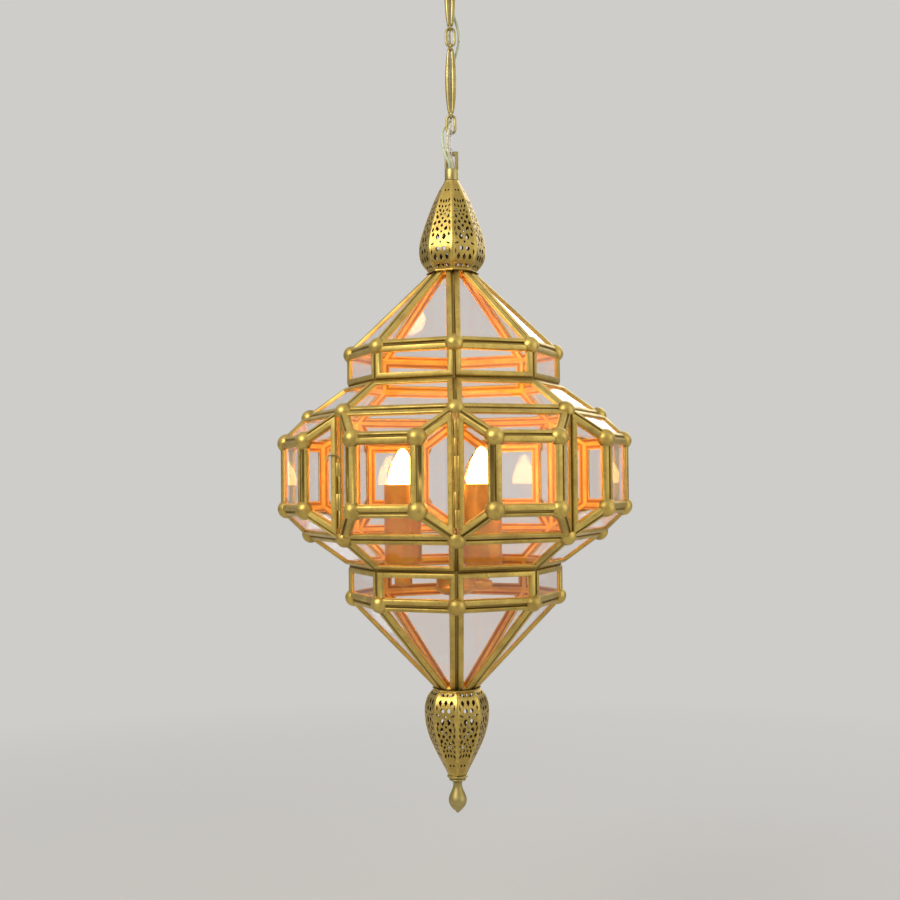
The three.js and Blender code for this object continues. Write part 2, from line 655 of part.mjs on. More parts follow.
/** Onion profile of a cap from its rim (height 0) to its neck. */
function capProfile({ rim, belly, bellyRise, neck, height }) {
  const bulge = [];
  for (let i = 0; i < 3; i += 1) {
    const turn = (Math.PI / 2) * (i / 3);
    bulge.push([rim + (belly - rim) * Math.sin(turn), bellyRise * (1 - Math.cos(turn))]);
  }
  const rise = height - bellyRise;
  const shoulder = new THREE.CubicBezierCurve(
    new THREE.Vector2(belly, bellyRise),
    new THREE.Vector2(belly, bellyRise + CAP_CURVE.belly * rise),
    new THREE.Vector2(neck + CAP_CURVE.taper * (belly - neck), height - CAP_CURVE.neck * rise),
    new THREE.Vector2(neck, height),
  );
  return [...bulge, ...pointsOn(shoulder, 4)];
}

/** A drop-shaped hole through the front face of a cap, at a place across and up. */
function dropCutter(across, height, reach, size) {
  const half = (PIERCING_WIDTH * size) / 2;
  const tall = (PIERCING_LENGTH * size) / 2;
  const drop = new THREE.Shape();
  drop.moveTo(across, height + tall);
  drop.lineTo(across - half, height - PIERCING_BELLY * tall);
  drop.lineTo(across, height - tall);
  drop.lineTo(across + half, height - PIERCING_BELLY * tall);
  drop.closePath();
  const geometry = new THREE.ExtrudeGeometry(drop, { depth: PIERCING_DEPTH, bevelEnabled: false });
  return geometry.rotateX(Math.PI / 2).translate(0, PIERCING_DEPTH / 2 - reach, 0);
}

/** A pierced cap standing on its rim, with its neck up and drop-shaped holes in each band of facets. */
function cap(shape) {
  const outer = capProfile(shape);
  const wall = turned([...outer, ...innerSide(outer, CAP_WALL)], SIDES, HALF_SECTOR);
  const holes = [];
  for (let i = 3; i < outer.length; i += 1) {
    const radius = (outer[i - 1][0] + outer[i][0]) / 2;
    const height = (outer[i - 1][1] + outer[i][1]) / 2;
    const flatWidth = 2 * radius * Math.sin(HALF_SECTOR);
    const isNarrow = i === outer.length - 1;
    const spots = isNarrow ? [0] : [-PIERCING_SPREAD, PIERCING_SPREAD];
    const size = Math.min(1, (0.3 * flatWidth) / PIERCING_WIDTH);
    const reach = radius * Math.cos(HALF_SECTOR);
    spots.forEach((spot) => holes.push(dropCutter(spot * flatWidth, height, reach, size)));
  }
  const around = Array.from({ length: SIDES }, (_, k) => 2 * HALF_SECTOR * k);
  const cutters = around.flatMap((angle) => holes.map((hole) => solidOf(hole.clone().rotateZ(angle))));
  return without(wall, cutters);
}

/** Height at which a rim of some corner radius rests on the beads of a cone tier. */
function seatOnCone(pane, rimRadius) {
  const distance = pane.normal.dot(pane.corners[0]) + BORDER_RISE + SEAT_GAP;
  return (distance + pane.normal.y * rimRadius * Math.cos(HALF_SECTOR)) / pane.normal.z;
}

/** Collar on the tube's upper end, with the stirrup that the chain carries. */
function collarWithStirrup(foot) {
  const top = foot + COLLAR_HEIGHT;
  const crown = top + STIRRUP_HEIGHT;
  const socket = TUBE_RADIUS + SEAT_GAP;
  const sleeve = turned([
    [socket, foot], [COLLAR_RADIUS, foot], [COLLAR_RADIUS, top],
    [TUBE_BORE, top], [TUBE_BORE, foot + THREAD_LENGTH], [socket, foot + THREAD_LENGTH],
  ], 12);
  const halfDepth = STIRRUP_DEPTH / 2;
  const legs = [-1, 1].map((side) => {
    const inner = side * (COLLAR_RADIUS - STIRRUP_LEG);
    const outer = side * COLLAR_RADIUS;
    const [low, high] = [Math.min(inner, outer), Math.max(inner, outer)];
    return block([low, -halfDepth, top - 1], [high, halfDepth, crown]);
  });
  const bar = block([-COLLAR_RADIUS, -halfDepth, crown - STIRRUP_BAR], [COLLAR_RADIUS, halfDepth, crown]);
  return joined([sleeve, ...legs, bar]).subtract(cylinder(TUBE_BORE, top - 2, top + 1, 12));
}

/** Turned finial under the bottom cap, with the socket for the tube's lower end. */
function finial(top) {
  const socket = TUBE_RADIUS + SEAT_GAP;
  const bulb = new THREE.CubicBezierCurve(
    new THREE.Vector2(FINIAL_NECK_RADIUS, top - FINIAL_NECK_DEPTH),
    new THREE.Vector2(FINIAL_BULB_RADIUS * 1.25, top - FINIAL_BULB_DEPTH),
    new THREE.Vector2(FINIAL_BULB_RADIUS * 1.1, top - FINIAL_TAPER_DEPTH),
    new THREE.Vector2(FINIAL_POINT, top - FINIAL_LENGTH + FINIAL_POINT),
  );
  const outline = [
    [socket, top], [FINIAL_DISC_RADIUS, top], [FINIAL_DISC_RADIUS, top - FINIAL_DISC_HEIGHT],
    ...FINIAL_STEPS.map(([radius, depth]) => [radius, top - depth]), ...pointsOn(bulb, 6),
    [0, top - FINIAL_LENGTH],
  ].reverse();
  return turned([...outline, [socket, top - THREAD_LENGTH], [0, top - THREAD_LENGTH]], 12);
}

// Candle lights. Each arm, sleeve, lampholder and bulb lies towards -Y before it is turned.

const sleeveFoot = -(SLEEVE_TOP_DEPTH + SLEEVE_LENGTH);
const panTop = sleeveFoot - SEAT_GAP;
const panFoot = panTop - PAN_HEIGHT;
const armFoot = panFoot - ARM_THICKNESS;
const atCandle = (solid) => solidOf(geometryOf(solid).translate(0, -CANDLE_CIRCLE, 0));

function hub() {
  const foot = -HUB_FOOT_DEPTH;
  const bore = TUBE_RADIUS + SEAT_GAP;
  return turned([
    [bore, foot], [HUB_RADIUS * HUB_FOOT_SHARE, foot], [HUB_RADIUS, foot + HUB_FOOT_RISE],
    [HUB_RADIUS, foot + HUB_HEIGHT], [bore, foot + HUB_HEIGHT],
  ], 16);
}

function candleArm() {
  const strip = block(
    [-ARM_WIDTH / 2, -CANDLE_CIRCLE, armFoot],
    [ARM_WIDTH / 2, -(HUB_RADIUS + SEAT_GAP), panFoot + 0.5],
  );
  const nutFoot = armFoot - PAN_NUT_HEIGHT;
  const neck = PAN_NUT_RADIUS * PAN_NECK_SHARE;
  const pan = atCandle(turned([
    [0, nutFoot], [PAN_NUT_RADIUS - PAN_NUT_CHAMFER, nutFoot], [PAN_NUT_RADIUS, nutFoot + PAN_NUT_CHAMFER],
    [PAN_NUT_RADIUS, armFoot], [neck, armFoot], [neck, panFoot],
    [PAN_RADIUS, panTop - PAN_RIM], [PAN_RADIUS, panTop], [0, panTop],
  ], 12));
  return strip.add(pan);
}

function candleSleeve() {
  const top = -SLEEVE_TOP_DEPTH;
  const curve = SLEEVE_FOOT_CURVE.map(([inset, height]) => [SLEEVE_RADIUS - inset, sleeveFoot + height]);
  const outer = [[SLEEVE_FOOT_RADIUS, sleeveFoot], ...curve, [SLEEVE_RADIUS, top]];
  const inside = SLEEVE_RADIUS - SLEEVE_WALL;
  const floor = sleeveFoot + SLEEVE_WALL;
  const inner = [
    [inside, top], [inside, sleeveFoot + SLEEVE_FLOOR_CURVE[1]],
    [inside - SLEEVE_FLOOR_CURVE[0], floor], [SLEEVE_FOOT_RADIUS, floor],
  ];
  return atCandle(turned([...outer, ...inner], 12));
}

function lampholder() {
  const top = sleeveFoot + LAMPHOLDER_HEIGHT;
  const bore = BULB_CAP_RADIUS + SEAT_GAP;
  return atCandle(turned([
    [0, sleeveFoot], [LAMPHOLDER_RADIUS, sleeveFoot], [LAMPHOLDER_RADIUS, top],
    [bore, top], [bore, top - LAMPHOLDER_SOCKET], [0, top - LAMPHOLDER_SOCKET],
  ], 12));
}

/** A flame-shaped bulb, from the foot of its screw cap to its pointed tip. */
function bulb() {
  const foot = BULB_TIP_HEIGHT - BULB_LENGTH;
  const shoulder = foot + BULB_CAP_LENGTH;
  const rise = BULB_TIP_HEIGHT - shoulder;
  const belly = new THREE.CubicBezierCurve(
    new THREE.Vector2(BULB_CAP_RADIUS + 1, shoulder + 2),
    new THREE.Vector2(BULB_RADIUS, shoulder + BULB_SHAPE.swell * rise),
    new THREE.Vector2(BULB_RADIUS, shoulder + BULB_SHAPE.belly * rise),
    new THREE.Vector2(BULB_RADIUS, shoulder + BULB_SHAPE.widest * rise),
  );
  const flame = new THREE.CubicBezierCurve(
    new THREE.Vector2(BULB_RADIUS, shoulder + BULB_SHAPE.widest * rise),
    new THREE.Vector2(BULB_RADIUS, shoulder + BULB_SHAPE.taper * rise),
    new THREE.Vector2(BULB_RADIUS * BULB_SHAPE.slimness, shoulder + BULB_SHAPE.tip * rise),
    new THREE.Vector2(0, BULB_TIP_HEIGHT),
  );
  const glass = [...pointsOn(belly, 3), ...pointsOn(flame, 4).slice(1, -1), [0, BULB_TIP_HEIGHT]];
  return atCandle(turned([[0, foot], [BULB_CAP_RADIUS, foot], [BULB_CAP_RADIUS, shoulder], ...glass], 10));
}

// Chain. Rings hang in the XZ plane, and the links' eyes and the shackle stand in the YZ plane.

const X = new THREE.Vector3(1, 0, 0);
const Y = new THREE.Vector3(0, 1, 0);
const onAxis = (height) => new THREE.Vector3(0, 0, height);
const EYE_SEAT = RING_WIRE + SEAT_GAP + EYE_WIRE;

const eyeAt = (centre) => wireLoop({
  halfWidth: EYE_RADIUS, pitch: 2 * EYE_RADIUS, wire: EYE_WIRE, across: Y, planeNormal: X.clone().negate(),
  middle: onAxis(centre),
});

const ringBetween = (low) => wireLoop({
  halfWidth: RING_RADIUS, pitch: RING_PITCH, wire: RING_WIRE, across: X, planeNormal: Y,
  middle: onAxis(low + RING_PITCH / 2),
});

/** A long link: two bowed rods, thick in the middle, with an eye at each end that takes a ring. */
function spindleLink(lowRing, highRing) {
  const tipReach = RING_WIRE + 2 * SEAT_GAP + SPINDLE_TIP_RADIUS;
  const [low, high] = [lowRing + tipReach, highRing - tipReach];
  const stations = [0, 0.1, 0.3, 0.5, 0.7, 0.9, 1];
  const rods = [-1, 1].map((side) => {
    const swell = (share) => Math.sin(Math.PI * share) ** 0.8;
    const centres = stations.map((share) => {
      const x = side * (SPINDLE_TIP_OFFSET + (SPINDLE_BOW - SPINDLE_TIP_OFFSET) * swell(share));
      return new THREE.Vector3(x, 0, low + share * (high - low));
    });
    const growth = SPINDLE_RADIUS - SPINDLE_TIP_RADIUS;
    const radii = stations.map((share) => SPINDLE_TIP_RADIUS + growth * swell(share));
    return sweptRod({ centres, radii, planeNormal: Y, sides: 6, closed: false });
  });
  const eyes = [eyeAt(lowRing - EYE_SEAT + EYE_RADIUS), eyeAt(highRing + EYE_SEAT - EYE_RADIUS)];
  return joined([...rods, ...eyes]);
}

const shackle = (low) => wireLoop({
  halfWidth: SHACKLE_RADIUS, pitch: SHACKLE_PITCH, wire: SHACKLE_WIRE,
  across: Y, planeNormal: X.clone().negate(),
  middle: onAxis(low + SHACKLE_PITCH / 2),
});

// Ceiling fitting

/** Hook with its eye, the flange that carries the canopy and the shank that screws into the strap. */
function hook(eyeCentre, flangeFoot, ceiling) {
  const flangeTop = flangeFoot + HOOK_FLANGE_HEIGHT;
  const shankTop = ceiling - STRAP_THICKNESS - HOOK_TIP_CLEARANCE;
  const stemFoot = eyeCentre + EYE_RADIUS - HOOK_EYE_OVERLAP;
  const stem = turned([
    [0, stemFoot], [HOOK_RADIUS * HOOK_NECK_SHARE, stemFoot],
    [HOOK_RADIUS, flangeFoot], [HOOK_FLANGE_RADIUS, flangeFoot], [HOOK_FLANGE_RADIUS, flangeTop],
    [HOOK_RADIUS, flangeTop], [HOOK_RADIUS, shankTop], [0, shankTop],
  ], 12);
  return stem.add(eyeAt(eyeCentre));
}

function mountingStrap(ceiling) {
  const foot = ceiling - STRAP_THICKNESS;
  const [reach, halfWidth] = [STRAP_LENGTH / 2, STRAP_WIDTH / 2];
  const plate = block([-reach, -halfWidth, foot], [reach, halfWidth, ceiling]);
  const boss = cylinder(STRAP_BOSS_RADIUS, foot - STRAP_BOSS_LENGTH, foot + 0.5, 12);
  const thread = cylinder(HOOK_RADIUS + SEAT_GAP, foot - STRAP_BOSS_LENGTH - 1, foot - 1, 12);
  const screwHoles = [-1, 1].map((side) =>
    cylinder(STRAP_HOLE_RADIUS, foot - 1, ceiling + 1, 10, side * STRAP_HOLE_PLACE, 0));
  return without(plate.add(boss), [thread, ...screwHoles]);
}

/** Dished canopy, open to the ceiling, with holes for the hook and the cord grip. */
function canopy(foot) {
  const flare = new THREE.CubicBezierCurve(
    new THREE.Vector2(CANOPY_FLOOR_RADIUS, foot),
    new THREE.Vector2(CANOPY_FLOOR_RADIUS + CANOPY_FLARE[0], foot + CANOPY_FLARE[1]),
    new THREE.Vector2(CANOPY_RADIUS - CANOPY_SHOULDER_INSET, foot + CANOPY_HEIGHT * CANOPY_SHOULDER_SHARE),
    new THREE.Vector2(CANOPY_RADIUS, foot + CANOPY_HEIGHT - CANOPY_SKIRT),
  );
  const hole = HOOK_RADIUS + SEAT_GAP;
  const outer = [[hole, foot], ...pointsOn(flare, 4), [CANOPY_RADIUS, foot + CANOPY_HEIGHT - SEAT_GAP]];
  const bowl = turned([...outer, ...innerSide(outer, CANOPY_WALL)], 16);
  const gripHole = GRIP_NECK_RADIUS + SEAT_GAP;
  return bowl.subtract(cylinder(gripHole, foot - 1, foot + CANOPY_WALL + 1, 12, 0, GRIP_OUTSET));
}

/** Grip through the canopy floor that both wires pass through. */
function cordGrip(canopyFoot) {
  const flange = canopyFoot - SEAT_GAP;
  const [foot, top] = [flange - GRIP_HEIGHT, flange + GRIP_NECK_LENGTH];
  const grip = turned([
    [GRIP_BORE, foot], [GRIP_RADIUS - GRIP_CHAMFER[0], foot], [GRIP_RADIUS, flange - GRIP_CHAMFER[1]],
    [GRIP_RADIUS, flange], [GRIP_NECK_RADIUS, flange], [GRIP_NECK_RADIUS, top], [GRIP_BORE, top],
  ], 12);
  return solidOf(geometryOf(grip).translate(0, GRIP_OUTSET, 0));
}

// Heights above the lantern's middle plane, each worked out from the piece below it

const panes = {
  upperCone: tierPane(RINGS.upperOuter, RINGS.coneTop, normalOf('upperInner', 'upperOuter'), null),
  upperBand: tierPane(
    RINGS.upperInner, RINGS.upperOuter,
    normalOf('upperShoulder', 'upperInner'), normalOf('upperOuter', 'coneTop'),
  ),
  upperSlope: tierPane(
    RINGS.upperShoulder, RINGS.upperInner, bay.top.normal, normalOf('upperInner', 'upperOuter'),
  ),
  lowerSlope: tierPane(
    RINGS.lowerInner, RINGS.lowerShoulder, normalOf('lowerOuter', 'lowerInner'), bay.bottom.normal,
  ),
  lowerBand: tierPane(
    RINGS.lowerOuter, RINGS.lowerInner,
    normalOf('coneBottom', 'lowerOuter'), normalOf('lowerInner', 'lowerShoulder'),
  ),
  lowerCone: tierPane(RINGS.coneBottom, RINGS.lowerOuter, null, normalOf('lowerOuter', 'lowerInner')),
};

const topCapRim = seatOnCone(panes.upperCone, TOP_CAP.rim);
const bottomCapRim = seatOnCone(panes.lowerCone, BOTTOM_CAP.rim);
const collarFoot = topCapRim + TOP_CAP.height + SEAT_GAP;
const finialTop = bottomCapRim - BOTTOM_CAP.height - SEAT_GAP;
const stirrupTop = collarFoot + COLLAR_HEIGHT + STIRRUP_HEIGHT;
const bendReach = SHACKLE_RADIUS * Math.cos(Math.PI / (2 * LOOP_ARC_STEPS)) - SHACKLE_WIRE - SEAT_GAP;
const bendSeat = SHACKLE_RADIUS - Math.sqrt(bendReach ** 2 - (STIRRUP_DEPTH / 2) ** 2);
const shackleLow = stirrupTop - STIRRUP_BAR - bendSeat;
const lowRingLow = shackleLow + SHACKLE_PITCH - SHACKLE_WIRE - SEAT_GAP - RING_WIRE;
const middleRingLow = lowRingLow + RING_PITCH + LINK_SPAN;
const topRingLow = middleRingLow + RING_PITCH + LINK_SPAN;
const hookEyeCentre = topRingLow + RING_PITCH - EYE_SEAT + EYE_RADIUS;
const flangeFoot = hookEyeCentre + EYE_RADIUS + 4;
const canopyFoot = flangeFoot + HOOK_FLANGE_HEIGHT + SEAT_GAP;
const ceiling = canopyFoot + CANOPY_HEIGHT;

// Assembly

const root = new THREE.Group();
const hanging = new THREE.Group();
hanging.position.z = -ceiling;
root.add(hanging);

/** Puts a finished solid into a group as a named mesh. */
function put(group, name, solid, material) {
  const mesh = new THREE.Mesh(geometryOf(solid), material);
  mesh.name = name;
  group.add(mesh);
}

/** A group turned round the lantern's axis. */
function turnedGroup(angle) {
  const group = new THREE.Group();
  group.rotation.z = angle;
  hanging.add(group);
  return group;
}

put(hanging, 'mounting_strap', mountingStrap(ceiling), steel());
put(hanging, 'ceiling_canopy', canopy(canopyFoot), antiqueBrass());
put(hanging, 'ceiling_hook', hook(hookEyeCentre, flangeFoot, ceiling), antiqueBrass());
put(hanging, 'cord_grip', cordGrip(canopyFoot), antiqueBrass());
put(hanging, 'top_ring', ringBetween(topRingLow), polishedBrass());
put(hanging, 'upper_long_link', spindleLink(middleRingLow + RING_PITCH, topRingLow), polishedBrass());
put(hanging, 'middle_ring', ringBetween(middleRingLow), polishedBrass());
put(hanging, 'lower_long_link', spindleLink(lowRingLow + RING_PITCH, middleRingLow), polishedBrass());
put(hanging, 'low_ring', ringBetween(lowRingLow), polishedBrass());
put(hanging, 'shackle_link', shackle(shackleLow), steel());
put(hanging, 'neck_collar', collarWithStirrup(collarFoot), polishedBrass());

const wire = (route, radius) =>
  wireThrough(route.map((point) => new THREE.Vector3(...point)), radius, WIRE_SIDES, WIRE_STEP);
put(hanging, 'mains_flex', wire(FLEX_ROUTE, FLEX_RADIUS), clearSleeving());
put(hanging, 'earth_wire', wire(EARTH_ROUTE, EARTH_RADIUS), earthSleeving());

const standing = (solid, rim) => solidOf(geometryOf(solid).translate(0, 0, rim));
const upsideDown = (solid, rim) => solidOf(geometryOf(solid).rotateX(Math.PI).translate(0, 0, rim));
const shell = turnedGroup(HALF_SECTOR);
put(shell, 'top_cap', standing(cap(TOP_CAP), topCapRim), antiqueBrass());
put(shell, 'bottom_cap', upsideDown(cap(BOTTOM_CAP), bottomCapRim), antiqueBrass());
put(hanging, 'finial', finial(finialTop), polishedBrass());

const tubeTop = collarFoot + THREAD_LENGTH - SEAT_GAP;
const tubeFoot = finialTop - THREAD_LENGTH + SEAT_GAP;
const tubeProfile = [
  [TUBE_BORE, tubeFoot], [TUBE_RADIUS, tubeFoot], [TUBE_RADIUS, tubeTop], [TUBE_BORE, tubeTop],
];
put(hanging, 'centre_tube', turned(tubeProfile, 12), polishedBrass());

const { upperCone, upperBand, upperSlope, lowerSlope, lowerBand, lowerCone } = panes;
const topCorners = { ballRing: RINGS.upperOuter, ballBacks: [upperCone, upperBand] };
const bottomCorners = { ballRing: RINGS.lowerOuter, ballBacks: [lowerCone, lowerBand] };
const tiers = [
  { name: 'upper_cone', pane: upperCone, tipEdge: 2, ...topCorners },
  { name: 'upper_band', pane: upperBand, cutRing: RINGS.upperOuter },
  { name: 'upper_slope', pane: upperSlope, ballRing: RINGS.upperShoulder, ballBacks: [upperSlope] },
  { name: 'lower_slope', pane: lowerSlope, ballRing: RINGS.lowerShoulder, ballBacks: [lowerSlope] },
  { name: 'lower_band', pane: lowerBand, cutRing: RINGS.lowerOuter },
  { name: 'lower_cone', pane: lowerCone, tipEdge: 0, ...bottomCorners },
];
tiers.forEach((tier) => {
  put(shell, `${tier.name}_frame`, tierFrame(tier), antiqueBrass());
  put(shell, `${tier.name}_glass`, tierGlass(tier.pane), clearGlass());
});

const plainBay = bayFrame({});
const hingeBay = bayFrame({ leftSpans: ofBody(hingeSpans) });
const latchBay = bayFrame({ rightSpans: ofBody(latchSpans) });
const door = bayFrame({
  leftSpans: ofDoor(latchSpans), rightSpans: ofDoor(hingeSpans), spineClearance: DOOR_CORNER_CLEARANCE,
});
for (let k = 0; k < SIDES; k += 1) {
  const group = turnedGroup(HALF_SECTOR * (2 * k + 1));
  const isDoor = k === SIDES - 1;
  const neighbours = new Map([[0, hingeBay], [SIDES - 2, latchBay]]);
  const frame = isDoor ? door : neighbours.get(k) ?? plainBay;
  const name = isDoor ? 'door' : `bay_${k + 1}`;
  put(group, `${name}_frame`, frame, antiqueBrass());
  put(group, `${name}_glass`, bayGlass(), clearGlass());
  if (isDoor) put(group, 'latch_pin', latchPin(), polishedBrass());
}
const hingePin = cylinder(
  PIN_RADIUS, -HINGE_HALF_HEIGHT, HINGE_HALF_HEIGHT, 8, 0, -(SHOULDER_RADIUS + KNUCKLE_OUTSET),
);
put(hanging, 'hinge_pin', hingePin, polishedBrass());

put(hanging, 'light_hub', hub(), antiqueBrass());
CANDLE_PLACES.forEach((place, i) => {
  const group = turnedGroup(((2 * Math.PI) / CANDLE_PLACES.length) * i + FIRST_CANDLE_ANGLE);
  put(group, `${place}_candle_arm`, candleArm(), antiqueBrass());
  put(group, `${place}_candle_sleeve`, candleSleeve(), polishedBrass());
  put(group, `${place}_lampholder`, lampholder(), porcelain());
  put(group, `${place}_bulb`, bulb(), litGlass());
});

export default root;
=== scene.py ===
"""Looks of the moroccan pendant lantern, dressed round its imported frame.

The scene is in metres, +Z up, with the origin in the middle of the ceiling face. The lantern's own pieces
are worked out in millimetres about its middle plane, and moved to their place when they are finished.
"""

import logging
import math
from collections.abc import Callable, Sequence
from dataclasses import dataclass, field, replace
from enum import Enum

import bmesh
import bpy
from mathutils import Matrix, Vector


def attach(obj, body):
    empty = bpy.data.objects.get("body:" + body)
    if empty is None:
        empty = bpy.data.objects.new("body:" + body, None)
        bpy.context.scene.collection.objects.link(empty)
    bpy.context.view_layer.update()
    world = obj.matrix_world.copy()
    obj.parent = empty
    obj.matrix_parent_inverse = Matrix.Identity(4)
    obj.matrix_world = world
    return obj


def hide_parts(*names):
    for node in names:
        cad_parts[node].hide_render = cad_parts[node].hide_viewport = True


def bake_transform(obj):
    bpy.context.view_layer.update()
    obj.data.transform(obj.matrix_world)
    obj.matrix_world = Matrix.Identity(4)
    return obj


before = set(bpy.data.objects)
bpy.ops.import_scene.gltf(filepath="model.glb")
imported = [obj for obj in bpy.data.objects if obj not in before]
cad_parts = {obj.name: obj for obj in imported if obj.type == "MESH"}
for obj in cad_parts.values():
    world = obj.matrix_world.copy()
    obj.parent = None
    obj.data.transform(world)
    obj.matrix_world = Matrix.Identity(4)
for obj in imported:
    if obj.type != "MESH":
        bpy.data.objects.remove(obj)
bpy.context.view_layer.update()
LOG = logging.getLogger("lantern")

MIDDLE = -0.643318
TO_PLACE = Matrix.Translation((0, 0, MIDDLE)) @ Matrix.Scale(0.001, 4)
UP = Vector((0, 0, 1))
SIDES = 8
HALF_SECTOR = math.pi / SIDES
BAYS = 7

Colour = tuple[float, float, float]
Point = tuple[float, float, float]
Pair = tuple[float, float]
Profile = list[Pair]
Plane = tuple[Vector, Vector]
Socket = bpy.types.NodeSocket


class Body(Enum):
    """The bodies that pieces ride on."""

    CEILING = "ceiling_fitting"
    TOP_RING = "top_ring"
    UPPER_LINK = "upper_long_link"
    MIDDLE_RING = "middle_ring"
    LOWER_LINK = "lower_long_link"
    LOW_RING = "low_ring"
    SHACKLE = "shackle_link"
    LANTERN = "lantern"
    DOOR = "door"
    LATCH_PIN = "latch_pin"


class Slot(Enum):
    """The record's material slots."""

    ANTIQUE = "antique_brass"
    POLISHED = "polished_brass"
    STEEL = "steel"
    PANE = "pane_glass"
    BULB = "bulb_glass"
    PORCELAIN = "porcelain"
    CLEAR_SLEEVING = "clear_sleeving"
    EARTH_SLEEVING = "pale_green_sleeving"


# Finishes


class Nodes:
    """A tree of shading nodes that are added one after another."""

    def __init__(self, tree: bpy.types.NodeTree) -> None:
        """Starts on a tree."""
        self.tree = tree

    def add(self, kind: str, inputs: dict, output: str | int = 0, **settings: object) -> Socket:
        """Adds a node.

        Args:
            kind: the node's type name.
            inputs: values or sockets by input name or number.
            output: the name or number of the output that is wanted.
            settings: the node's own properties.

        Returns:
            The wanted output.
        """
        node = self.tree.nodes.new(kind)
        for key, value in settings.items():
            setattr(node, key, value)
        for key, value in inputs.items():
            self.feed(node.inputs[key], value)
        return node.outputs[output]

    def feed(self, socket: Socket, value: object) -> None:
        """Links an output to an input, or sets the input's own value.

        Args:
            socket: the input.
            value: an output or a value.
        """
        if isinstance(value, Socket):
            self.tree.links.new(value, socket)
        else:
            socket.default_value = value

    def span(self, value: Socket, edges: Pair, to: Pair = (0.0, 1.0)) -> Socket:
        """Stretches the part of a value between two edges over another range, and holds it there."""
        inputs = {"Value": value, "From Min": edges[0], "From Max": edges[1], "To Min": to[0], "To Max": to[1]}
        return self.add("ShaderNodeMapRange", inputs)

    def blend(self, share: object, first: object, second: object) -> Socket:
        """Mixes two colours."""
        return self.add("ShaderNodeMix", {0: share, 6: solid(first), 7: solid(second)}, 2, data_type="RGBA")

    def reckon(self, operation: str, first: object, second: object) -> Socket:
        """Works out one number from two."""
        return self.add("ShaderNodeMath", {0: first, 1: second}, operation=operation)

    def layer(self, share: object, first: Socket, second: Socket) -> Socket:
        """Mixes two ways of shading."""
        return self.add("ShaderNodeMixShader", {0: share, 1: first, 2: second})


class Shader(Nodes):
    """A material, with its pattern fixed to the piece."""

    def __init__(self, name: str) -> None:
        """Starts the material with the plain shading that its patterns feed.

        Args:
            name: the material's name.
        """
        self.material = bpy.data.materials.new(name)
        self.material.use_nodes = True
        super().__init__(self.material.node_tree)
        self.principled = self.tree.nodes["Principled BSDF"]
        self.out = self.tree.nodes["Material Output"].inputs["Surface"]
        self.place = self.add("ShaderNodeTexCoord", {}, "Object")

    def set(self, **inputs: object) -> None:
        """Sets or links inputs of the shading, with underscores for the spaces in their names."""
        for key, value in inputs.items():
            self.feed(self.principled.inputs[key.replace("_", " ")], value)

    def noise(self, scale: float, detail: float = 3.0, roughness: float = 0.5) -> Socket:
        """Noise over the piece, from 0 to 1."""
        inputs = {"Vector": self.place, "Scale": scale, "Detail": detail, "Roughness": roughness}
        return self.add("ShaderNodeTexNoise", inputs)

    def bump(self, height: Socket, strength: float, distance: float) -> Socket:
        """Turns heights into a normal."""
        return self.add("ShaderNodeBump", {"Height": height, "Strength": strength, "Distance": distance})


def solid(colour: object) -> object:
    """A colour with its alpha, or the socket as it is."""
    return (*colour, 1.0) if isinstance(colour, tuple) and len(colour) == 3 else colour


@dataclass(frozen=True)
class Coat:
    """A finish, with the record's slot that it comes from."""

    material: bpy.types.Material
    slot: Slot


